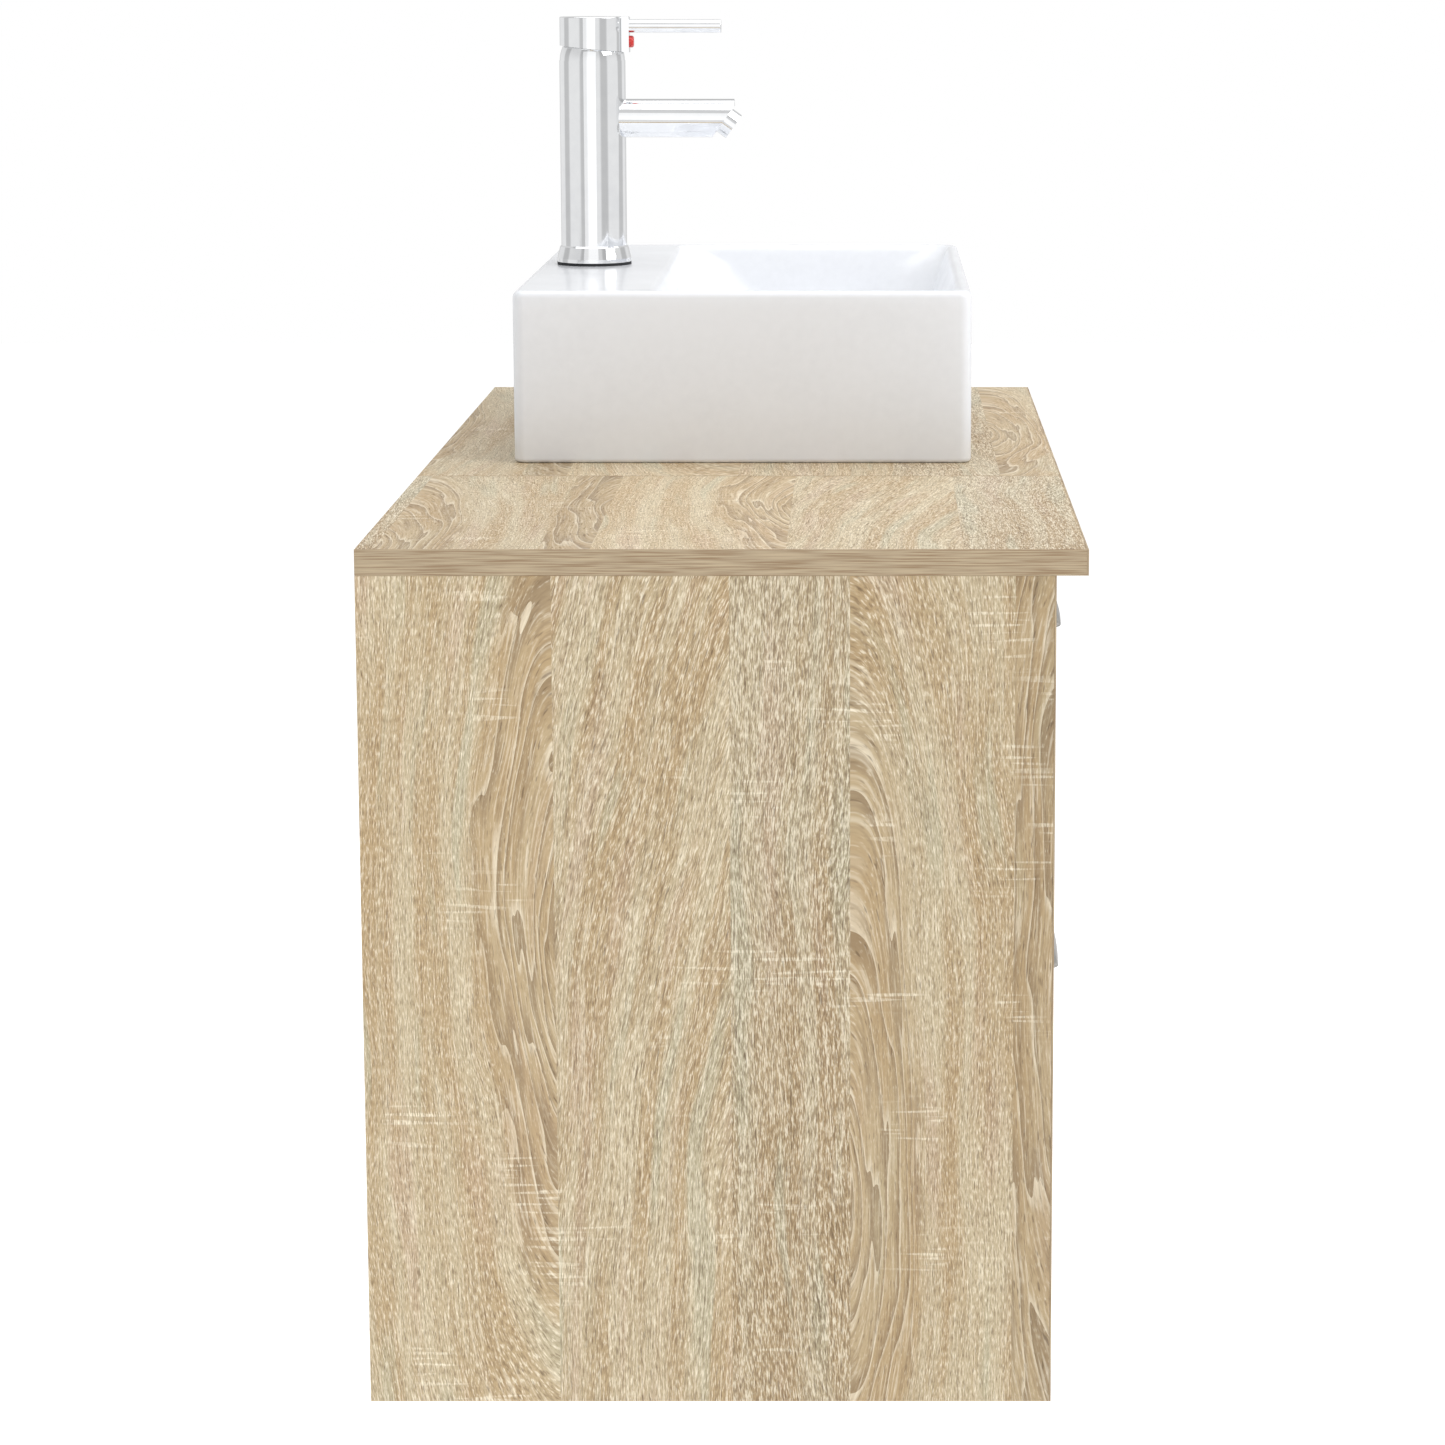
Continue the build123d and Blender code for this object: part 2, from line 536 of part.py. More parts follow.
def tap_body():
    """The cast body with its spout, and what is fixed in it."""
    at = tap_point(0, 0, 0)
    body = turned(
        at,
        [
            (0, 2),
            (26.25, 2),
            (26.25, 4.5),
            (24.2, 12.5),
            (TAP_R, 13.5),
            (TAP_R, TAP_PIVOT),
            (0, TAP_PIVOT),
        ],
    )
    body += rod(tap_point(0, 0, SPOUT_AXIS), FORWARD, SPOUT_R, SPOUT_REACH)
    cut_plane, toward = spout_cut()
    body -= cut_plane * Box(60, 60, 30, align=BASE)
    body -= rod(tap_point(0, 0, BORE_FLOOR), UP, BORE_R, 60.0)
    body -= rod(tap_point(0, -12, SPOUT_AXIS), FORWARD, 8.0, 74.0)
    centre = Vector(*tap_point(0, -93.0, 101.6))
    body -= rod(centre, -Vector(*toward), AERATOR_R, 7.0)
    for side in (-1, 1):
        body -= rod(tap_point(side * INLET_SET, 0, 1), UP, INLET_R, 13.0)
        body -= rod(tap_point(side * INLET_SET, 0, 13), UP, CHANNEL_R, BORE_FLOOR - 12)
    body -= rod(tap_point(0, STUD_SET, 1), UP, STUD_R, 16.0)
    save("tap_body", body)
    aerator = rod(centre - Vector(*toward) * 7, toward, AERATOR_R, 15.0)
    aerator -= rod(centre + Vector(*toward) * 6.5, toward, 8.2, 2.0)
    aerator -= rod(centre - Vector(*toward) * 7, toward, 6.5, 11.0)
    save("tap_aerator", aerator)
    save("tap_gasket", tube(tap_point(0, 0, 0), UP, 26.25, TAP_HOLE_R, 2.0))
    cartridge = rod(tap_point(0, 0, BORE_FLOOR), UP, BORE_R - 0.2, CARTRIDGE_TOP - BORE_FLOOR)
    cartridge -= rod(tap_point(0, 0, CARRIER_FLOOR), UP, CARRIER_R + 0.08, CARTRIDGE_TOP - CARRIER_FLOOR)
    save("tap_cartridge", cartridge)
    save("tap_cartridge_nut", tube(tap_point(0, 0, CARTRIDGE_TOP), UP, BORE_R, 13.5, 3.2))
    dome = Pos(*tap_point(0, 0, TAP_PIVOT)) * (Sphere(DOME_R) - Sphere(DOME_R - 2.9))
    dome &= rod(tap_point(0, 0, TAP_PIVOT), UP, 30.0, 30.0)
    dome += tube(tap_point(0, 0, TAP_PIVOT), UP, 20.5, 16.5, 2.0)
    dome += tube(tap_point(0, 0, TAP_PIVOT - 6), UP, BORE_R, 16.5, 8.0)
    dome -= rod(tap_point(0, 0, TAP_PIVOT), UP, DOME_OPENING_R, 30.0)
    save("tap_dome", dome)


def tap_fixing():
    """Stud, horseshoe plate and nut under the basin's deck."""
    under = -DECK_THICK
    stud = rod(tap_point(0, STUD_SET, -58.0), UP, STUD_R, 75.0)
    plate = rod(tap_point(0, 0, under - 3.0), UP, 23.0, 3.0)
    plate -= slab(
        (TAP_X - 15.5, TAP_X + 15.5), (TAP_Y - 30, TAP_Y + 6), (Z_DECK + under - 4, Z_DECK + under + 1)
    )
    plate -= rod(tap_point(0, STUD_SET, under - 4.0), UP, STUD_R, 6.0)
    nut = Pos(*tap_point(0, STUD_SET, under - 11.0)) * extrude(RegularPolygon(7.5, 6), 8.0)
    nut -= rod(tap_point(0, STUD_SET, under - 11.0), UP, STUD_R, 8.0)
    save("tap_fixing", stud, plate, nut)


def tap_handle():
    """What turns and tilts: the carrier in the cartridge, the spindle, the head and the lever."""
    pin = rod(tap_point(-11.0, 0, TAP_PIVOT), ALONG, PIN_R, 22.0)
    carrier = rod(tap_point(0, 0, CARRIER_FLOOR + 0.2), UP, CARRIER_R, 26.0)
    carrier -= slab(
        (TAP_X - SPINDLE / 2 - 0.4, TAP_X + SPINDLE / 2 + 0.4),
        (TAP_Y - 14, TAP_Y + 14),
        (Z_DECK + 134.5, Z_DECK + 150),
    )
    save("tap_carrier", carrier - pin, pin)
    spindle_x = (TAP_X - SPINDLE / 2, TAP_X + SPINDLE / 2)
    spindle_y = (TAP_Y - SPINDLE / 2, TAP_Y + SPINDLE / 2)
    spindle = slab(spindle_x, spindle_y, (Z_DECK + 138.5, Z_DECK + SPINDLE_TOP))
    save("tap_spindle", spindle - rod(tap_point(-6, 0, TAP_PIVOT), ALONG, PIN_R + AXLE_GAP, 12.0))

    head = rod(tap_point(0, 0, 146.0), UP, HEAD_R, HEAD_TOP - 146.0)
    head += slab(
        (TAP_X - BOSS_WIDE / 2, TAP_X + BOSS_WIDE / 2),
        (TAP_Y - BOSS_REACH, TAP_Y - 10),
        (Z_DECK + 146.0, Z_DECK + HEAD_TOP),
    )
    head = fillet(head.faces().sort_by(Axis.Z)[-1].edges(), 0.8)
    rim_tilt = math.degrees(math.atan2(RIM_REAR - RIM_FRONT, 2 * HEAD_R))
    rim_cut = Rot(rim_tilt, 0, 0) * Box(80, 80, 20, align=HANGING)
    head -= Pos(*tap_point(0, 0, (RIM_REAR + RIM_FRONT) / 2)) * rim_cut
    head -= Pos(*tap_point(0, 0, TAP_PIVOT)) * Sphere(DOME_R + HEAD_GAP)
    head += rod(tap_point(0, 0, 156.0), UP, 6.8, 14.0)
    head -= spindle
    lever_bar = rod(tap_point(0, -16.0, LEVER_AXIS), FORWARD, LEVER_R, LEVER_REACH - 16.0)
    lever_bar = fillet(lever_bar.faces().sort_by(Axis.Y)[0].edges(), 0.6)
    lever = lever_bar + rod(tap_point(0, -SPINDLE / 2, LEVER_AXIS), FORWARD, 2.5, 14.0)
    save("tap_head", head - lever)
    save("tap_lever", lever)
    button = rod(tap_point(0, -BOSS_REACH, 156.6), FORWARD, 4.2, 3.2)
    save("tap_indicator", fillet(button.faces().sort_by(Axis.Y)[0].edges(), 1.6))


def handle(front_y, at_z):
    """A flat grip that leans out at its lower edge, on two round posts."""
    grip_y = front_y - GRIP_OUT
    start = Plane(origin=(MODULE_X - GRIP_LONG / 2, grip_y, at_z), x_dir=BACKWARD, z_dir=ALONG)
    section = start * (Rot(0, 0, -GRIP_LEAN) * RectangleRounded(GRIP_THICK, GRIP_TALL, GRIP_CORNER_R))
    bar = extrude(section, GRIP_LONG)
    for x in (MODULE_X - HANDLE_PITCH / 2, MODULE_X + HANDLE_PITCH / 2):
        bar += rod((x, front_y, at_z), FORWARD, POST_R, GRIP_OUT)
    return bar


def drawer(name, front_low, notched):
    """One drawer: front, box boards, bottom sheet, handle and its half of the runners."""
    box_x = (SINK_X[0] + RUNNER_ROOM, SINK_X[1] - RUNNER_ROOM)
    box_y = (FRONT_BACK_Y, FRONT_BACK_Y + BOX_DEPTH)
    low = front_low - 1.5 + BOX_LIFT
    sheet_z = (low + 8.0, low + 8.0 + BOTTOM_SHEET)
    board_z = (low, low + BOX_TALL)
    sheet = slab(
        (box_x[0] + BOX_BOARD - GROOVE, box_x[1] - BOX_BOARD + GROOVE), (box_y[0] - GROOVE, box_y[1]), sheet_z
    )
    sides = [
        slab((box_x[0], box_x[0] + BOX_BOARD), box_y, board_z) - sheet,
        slab((box_x[1] - BOX_BOARD, box_x[1]), box_y, board_z) - sheet,
    ]
    inner_x = (box_x[0] + BOX_BOARD, box_x[1] - BOX_BOARD)
    back_y = (box_y[1] - BOX_BOARD, box_y[1])
    upright_z = (sheet_z[1], board_z[1])
    if notched:
        notch_x = (BASIN_X - NOTCH_HALF, BASIN_X + NOTCH_HALF)
        notch_y = BOWL_Y - NOTCH_AHEAD
        sheet -= slab(notch_x, (notch_y, 0), (low, low + 30))
        boards = sides + [
            slab((inner_x[0], notch_x[0] - BOX_BOARD), back_y, upright_z),
            slab((notch_x[1] + BOX_BOARD, inner_x[1]), back_y, upright_z),
            slab((notch_x[0] - BOX_BOARD, notch_x[0]), (notch_y, box_y[1]), upright_z),
            slab((notch_x[1], notch_x[1] + BOX_BOARD), (notch_y, box_y[1]), upright_z),
            slab((notch_x[0] - BOX_BOARD, notch_x[1] + BOX_BOARD), (notch_y - BOX_BOARD, notch_y), upright_z),
        ]
    else:
        boards = sides + [slab(inner_x, back_y, upright_z)]
    save(f"{name}_boards", *boards)
    save(f"{name}_bottom", sheet)

    front_x = (SINK_X[0] + FRONT_GAP, SINK_X[1] - FRONT_GAP)
    front_y = -BODY_DEPTH
    at_z = front_low + FRONT_TALL / 2 + GRIP_UP
    screws = []
    for x in (MODULE_X - HANDLE_PITCH / 2, MODULE_X + HANDLE_PITCH / 2):
        shank = rod((x, FRONT_BACK_Y, at_z), FORWARD, SCREW_R, BOARD + 8.0)
        head = rod((x, FRONT_BACK_Y + SCREW_HEAD_TALL, at_z), FORWARD, SCREW_HEAD_R, SCREW_HEAD_TALL)
        screws.append(head + shank)
    front = slab(front_x, (front_y, FRONT_BACK_Y), (front_low, front_low + FRONT_TALL))
    save(f"{name}_front", cut(front, screws + [sheet]))
    save(f"{name}_handle", cut(handle(front_y, at_z), screws))
    save(f"{name}_handle_screws", *screws)
    drawer_runners(name, box_x, box_y, low)


def mirrored_pair(piece):
    """A runner piece on the drawer's left and its mirror image on the right."""
    return [piece, piece.mirror(Plane(origin=(MODULE_X, 0, 0), z_dir=ALONG))]


def drawer_runners(name, box_x, box_y, low):
    """The steel profiles on the drawer, their rear rollers, and the front rollers of the cabinet."""
    x = box_x[0]
    y = (box_y[0] + 2, box_y[1])
    profile = slab((x - STEEL, x), y, (low - STEEL, low + RUNNER_TALL))
    profile += slab((x - STEEL, x + BOX_BOARD), y, (low - STEEL, low))
    profile += slab((x - FLANGE, x), y, (low + RUNNER_TALL - STEEL, low + RUNNER_TALL))
    rear_y = box_y[1] - ROLLER_SET
    profile += rod((x - STEEL, rear_y, low + ROLLER_UP), (-1, 0, 0), AXLE_R, AXLE_LONG)
    save(f"{name}_runners", *mirrored_pair(profile))
    bore_r = AXLE_R + AXLE_GAP
    wheel = tube((x - STEEL - 1.0, rear_y, low + ROLLER_UP), (-1, 0, 0), ROLLER_R, bore_r, ROLLER_WIDE)
    save(f"{name}_rear_rollers", *mirrored_pair(wheel))
    front_y = box_y[0] + 2 + ROLLER_SET
    front_x = SINK_X[0] + STEEL + 1.0
    wheel = tube((front_x, front_y, low + ROLLER_UP), ALONG, ROLLER_R, bore_r, ROLLER_WIDE)
    save(f"{name}_front_rollers", *mirrored_pair(wheel))


def cabinet_runners(lows):
    """The steel channels on the sink unit's panels, with the front rollers' axles."""
    pieces = []
    x = SINK_X[0]
    y = (FRONT_BACK_Y + 2, FRONT_BACK_Y + BOX_DEPTH)
    for low in lows:
        channel = slab((x, x + STEEL), y, (low, low + RUNNER_TALL + 2.0))
        channel += slab((x, x + FLANGE), y, (low, low + STEEL))
        top = low + RUNNER_TALL + 0.8
        channel += slab((x, x + FLANGE - 1), (y[0] + 45, y[1]), (top, top + STEEL))
        channel += rod((x, y[0] + ROLLER_SET, low + ROLLER_UP), ALONG, AXLE_R, 9.0)
        pieces += mirrored_pair(channel)
    save("cabinet_runners", *pieces)


def main():
    os.makedirs("parts", exist_ok=True)
    cams = side_unit() + sink_unit()
    save("cam_fittings", *cams)
    save("counter_screws", *counter_screws())
    save("unit_connectors", *unit_connectors())
    save("wall_plates", *wall_plates("side"), *wall_plates("sink"))
    basin()
    waste()
    trap()
    tap_body()
    tap_fixing()
    tap_handle()
    lower_front = Z_BOTTOM + 1.5
    upper_front = lower_front + FRONT_STEP
    drawer("lower_drawer", lower_front, False)
    drawer("upper_drawer", upper_front, True)
    cabinet_runners((lower_front - 1.5 + BOX_LIFT, upper_front - 1.5 + BOX_LIFT))


main()
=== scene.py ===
"""A wall-hung bathroom vanity with a vessel basin: the looks of its pieces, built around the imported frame.

The object is an open shelf unit and a drawer unit under one line of counter boards, a glazed basin with a
single-lever mixer, a bottle trap, and two drawers on roller runners. X runs along the length, the front
faces -Y, +Z is up and the wall is the plane Y = 0. Every length in this file is in millimetres unless its
name ends in _m, and places come from the frame's own boxes.
"""

import json
import logging
import math
from collections.abc import Iterable, Sequence
from dataclasses import dataclass
from enum import Enum
from itertools import product

import bmesh
import bpy
from mathutils import Matrix, Vector

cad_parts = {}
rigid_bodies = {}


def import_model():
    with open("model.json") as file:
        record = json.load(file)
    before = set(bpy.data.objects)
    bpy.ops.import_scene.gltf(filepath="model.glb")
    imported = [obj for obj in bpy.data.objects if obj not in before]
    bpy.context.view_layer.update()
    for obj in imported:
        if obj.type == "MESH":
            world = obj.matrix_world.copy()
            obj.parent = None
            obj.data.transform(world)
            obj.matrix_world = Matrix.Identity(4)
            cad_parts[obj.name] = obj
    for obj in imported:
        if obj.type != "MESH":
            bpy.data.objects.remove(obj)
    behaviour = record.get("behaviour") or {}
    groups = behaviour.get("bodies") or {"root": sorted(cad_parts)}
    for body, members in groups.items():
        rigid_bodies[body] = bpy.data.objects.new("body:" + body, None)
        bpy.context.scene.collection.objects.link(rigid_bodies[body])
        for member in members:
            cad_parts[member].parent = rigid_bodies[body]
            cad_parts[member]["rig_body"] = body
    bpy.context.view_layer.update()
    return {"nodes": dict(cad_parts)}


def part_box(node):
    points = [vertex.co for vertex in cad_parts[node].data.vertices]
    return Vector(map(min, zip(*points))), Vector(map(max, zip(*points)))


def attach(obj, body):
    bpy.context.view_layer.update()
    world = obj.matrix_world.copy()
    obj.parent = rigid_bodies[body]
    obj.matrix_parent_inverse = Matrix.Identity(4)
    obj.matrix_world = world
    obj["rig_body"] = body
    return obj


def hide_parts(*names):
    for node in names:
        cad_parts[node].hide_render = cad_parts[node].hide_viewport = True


MM = 0.001
DECOR_MAP = "decor"
# A rounded corner takes at most this share of either side of an outline.
SIDE_SHARE = 0.45
LOG = logging.getLogger("vanity")

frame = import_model()


class Axis(Enum):
    """The direction in which a board's grain, or a turned part's axis, runs."""

    X = 0
    Y = 1
    Z = 2


# ---------------------------------------------------------------- shared tools


def linear(colour: str) -> tuple[float, float, float, float]:
    """Turns an sRGB hex colour into Blender's linear one.

    Args:
        colour: six hex digits, such as "C5B294".

    Returns:
        Linear red, green, blue and an alpha of 1.
    """
    channels = [int(colour[i : i + 2], 16) / 255 for i in (0, 2, 4)]
    red, green, blue = (c / 12.92 if c <= 0.04045 else ((c + 0.055) / 1.055) ** 2.4 for c in channels)
    return red, green, blue, 1.0


def add_node(
    tree: bpy.types.NodeTree, kind: str, inputs: dict | None = None, **settings
) -> bpy.types.NodeSocket | None:
    """Adds a node with its settings, its values and the links that come into it.

    Args:
        tree: the node tree.
        kind: the node's Blender type.
        inputs: socket name or number, to the value it holds or the socket it is linked from.
        settings: properties of the node.

    Returns:
        The node's first output. Its others are reached through .node.
    """
    node = tree.nodes.new(kind)
    for name, value in settings.items():
        setattr(node, name, value)
    for socket, value in (inputs or {}).items():
        if isinstance(value, bpy.types.NodeSocket):
            tree.links.new(value, node.inputs[socket])
        else:
            node.inputs[socket].default_value = value
    return node.outputs[0] if node.outputs else None


def node_box(node: str) -> tuple[Vector, Vector]:
    """The lowest and highest corners of a CAD node, in millimetres."""
    low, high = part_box(node)
    return low / MM, high / MM


def node_middle(node: str) -> Vector:
    """The middle of a CAD node's box, in millimetres."""
    low, high = node_box(node)
    return (low + high) / 2


def box_shape(low: Vector, high: Vector, arris: float, steps: int = 2) -> bmesh.types.BMesh:
    """A block with every edge eased.

    Args:
        low: its lowest corner.
        high: its highest corner.
        arris: the radius of its edges.
        steps: how many facets round each edge has.

    Returns:
        The block, in millimetres.
    """
    shape = bmesh.new()
    sides = [(low[i], high[i]) for i in range(3)]
    corners = [shape.verts.new(corner) for corner in product(*sides)]
    for face in ((0, 1, 3, 2), (4, 6, 7, 5), (0, 4, 5, 1), (2, 3, 7, 6), (0, 2, 6, 4), (1, 5, 7, 3)):
        shape.faces.new([corners[i] for i in face])
    bmesh.ops.recalc_face_normals(shape, faces=shape.faces)
    if arris > 0:
        bmesh.ops.bevel(
            shape, geom=list(shape.edges), offset=arris, segments=steps, profile=0.5,
            affect="EDGES", clamp_overlap=True,
        )
    return shape


def eased(outline: Sequence[tuple[float, float]], radius: float, steps: int = 5) -> list[tuple[float, float]]:
    """Rounds the inner corners of an open outline.

    Args:
        outline: points of the outline.
        radius: the most that a corner is rounded by, less where a side is short.
        steps: how many facets a corner has.

    Returns:
        The outline with an arc for each corner.
    """
    made = [outline[0]]
    for before, corner, after in zip(outline, outline[1:], outline[2:]):
        point = Vector(corner)
        back, ahead = Vector(before) - point, Vector(after) - point
        reach = min(radius, back.length * SIDE_SHARE, ahead.length * SIDE_SHARE)
        start, end = point + back.normalized() * reach, point + ahead.normalized() * reach
        for i in range(steps + 1):
            t = i / steps
            made.append(tuple(start * (1 - t) ** 2 + point * 2 * t * (1 - t) + end * t**2))
    return made + [outline[-1]]


def lathe(
    outline: Sequence[tuple[float, float]], at: Vector, axis: Vector, turns: int = 96
) -> bmesh.types.BMesh:
    """A turned solid.

    Args:
        outline: points of radius and distance along the axis. It starts and ends on the axis, or closes on
            itself.
        at: the point that distances are counted from.
        axis: the direction of the axis.
        turns: how many facets go round it.

    Returns:
        The solid, in millimetres.
    """
    shape = bmesh.new()
    spin = Vector((0, 0, 1)).rotation_difference(axis)
    rings = []
    for radius, along in outline:
        if radius < 1e-6:
            rings.append([shape.verts.new(at + spin @ Vector((0, 0, along)))])
            continue
        ring = []
        for i in range(turns):
            turn = 2 * math.pi * i / turns
            point = Vector((radius * math.cos(turn), radius * math.sin(turn), along))
            ring.append(shape.verts.new(at + spin @ point))
        rings.append(ring)
    if len(rings[0]) > 1:
        rings.append(rings[0])
    join_rings(shape, rings)
    return shape


def join_rings(shape: bmesh.types.BMesh, rings: Sequence[Sequence[bmesh.types.BMVert]]) -> None:
    """Joins each ring of vertices to the next with quads, or with triangles where one is a single point.

    Args:
        shape: the shape that the vertices are in.
        rings: the rings in order, each as long as the others or a single point.
    """
    for first, second in zip(rings, rings[1:]):
        count = max(len(first), len(second))
        for i in range(count):
            j = (i + 1) % count
            near = [first[i % len(first)], first[j % len(first)]]
            far = [second[j % len(second)], second[i % len(second)]]
            shape.faces.new(list(dict.fromkeys(near + far)))
    bmesh.ops.recalc_face_normals(shape, faces=shape.faces)


def joined(shapes: Iterable[bmesh.types.BMesh]) -> bmesh.types.BMesh:
    """Puts several shapes into one, as separate solids.

    Args:
        shapes: the shapes, which are used up.

    Returns:
        One shape that holds them all.
    """
    whole = bmesh.new()
    for shape in shapes:
        part = bpy.data.meshes.new("part")
        shape.to_mesh(part)
        shape.free()
        whole.from_mesh(part)
        bpy.data.meshes.remove(part)
    return whole


def as_object(name: str, shape: bmesh.types.BMesh) -> bpy.types.Object:
    """Turns a shape in millimetres into an object in metres.

    Args:
        name: the name of the object and its mesh.
        shape: the shape, which is used up.

    Returns:
        The object, linked into the scene.
    """
    bmesh.ops.transform(shape, matrix=Matrix.Scale(MM, 4), verts=shape.verts)
    mesh = bpy.data.meshes.new(name)
    shape.to_mesh(mesh)
    shape.free()
    made = bpy.data.objects.new(name, mesh)
    bpy.context.scene.collection.objects.link(made)
    return made


def carve(piece: bpy.types.Object, tools: Sequence[bmesh.types.BMesh]) -> None:
    """Cuts tools, as shapes in millimetres, out of a piece.

    Args:
        piece: the object that is cut.
        tools: what is cut out of it, in millimetres and in order.
    """
    for tool in tools:
        cutter = as_object("cutter", tool)
        cut = piece.modifiers.new("cut", "BOOLEAN")
        cut.operation, cut.solver, cut.object = "DIFFERENCE", "EXACT", cutter
        bpy.context.view_layer.update()
        graph = bpy.context.evaluated_depsgraph_get()
        result = bpy.data.meshes.new_from_object(piece.evaluated_get(graph))
        piece.modifiers.clear()
        old, piece.data = piece.data, result
        name = old.name
        bpy.data.meshes.remove(old)
        result.name = name
        bpy.data.objects.remove(cutter)


def finish_piece(
    piece: bpy.types.Object,
    finish: "Finish",
    nodes: Sequence[str],
    smooth_deg: float | None = 35.0,
) -> None:
    """Gives a piece its shading, its finish and its place in the frame.

    Args:
        piece: the object.
        finish: what its surface is.
        nodes: the CAD nodes that it stands for.
        smooth_deg: the angle under which edges are shaded smooth, or None for flat faces.
    """
    mesh = piece.data
    mesh.materials.clear()
    mesh.materials.append(finish.material())
    if smooth_deg is None:
        mesh.shade_flat()
    else:
        mesh.shade_smooth()
        mesh.set_sharp_from_angle(angle=math.radians(smooth_deg))
    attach(piece, frame["nodes"][nodes[0]]["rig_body"])
    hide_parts(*nodes)
    LOG.info("%s stands for %s", piece.name, ", ".join(nodes))


# ---------------------------------------------------------------- finishes


class Finish:
    """A surface. Each kind says how its material is built, once."""

    name: str

    def material(self) -> bpy.types.Material:
        """The material, made on first use.

        Returns:
            The one material of this finish.
        """
        found = bpy.data.materials.get(self.name)
        if found:
            return found
        made = bpy.data.materials.new(self.name)
        made.use_nodes = True
        self.build(made.node_tree, made.node_tree.nodes["Principled BSDF"])
        return made

    def build(self, tree: bpy.types.NodeTree, shader: bpy.types.Node) -> None:
        """Adds the nodes of this finish around the shader.

        Args:
            tree: the material's nodes.
            shader: its principled shader.
        """
        raise NotImplementedError


@dataclass(frozen=True)
class Plank:
    """One printed plank of the decor.

    Attributes:
        end: where it ends across the sheet.
        heart: where the heart of its arches lies across the sheet.
        level: where that heart lies along the sheet.
        slope: how wide its arches are for their length.
        arch: how strongly its growth rings show.
        tone: how bright it is.
        coarse: how strong its fine texture is.
    """

    end: float
    heart: float
    level: float
    slope: float
    arch: float
    tone: float
    coarse: float = 0.9


@dataclass(frozen=True)
class Grain:
    """Noise that follows the wood: how wide and long a streak is, and which streaks and detail it has."""

    wide: float
    long: float
    seed: float
    detail: float = 2.0
    rough: float = 0.5


@dataclass(frozen=True)
class Layer:
    """A colour that is laid on as a value goes from start to stop, up to most of its full strength."""

    colour: str
    start: float
    stop: float
    most: float


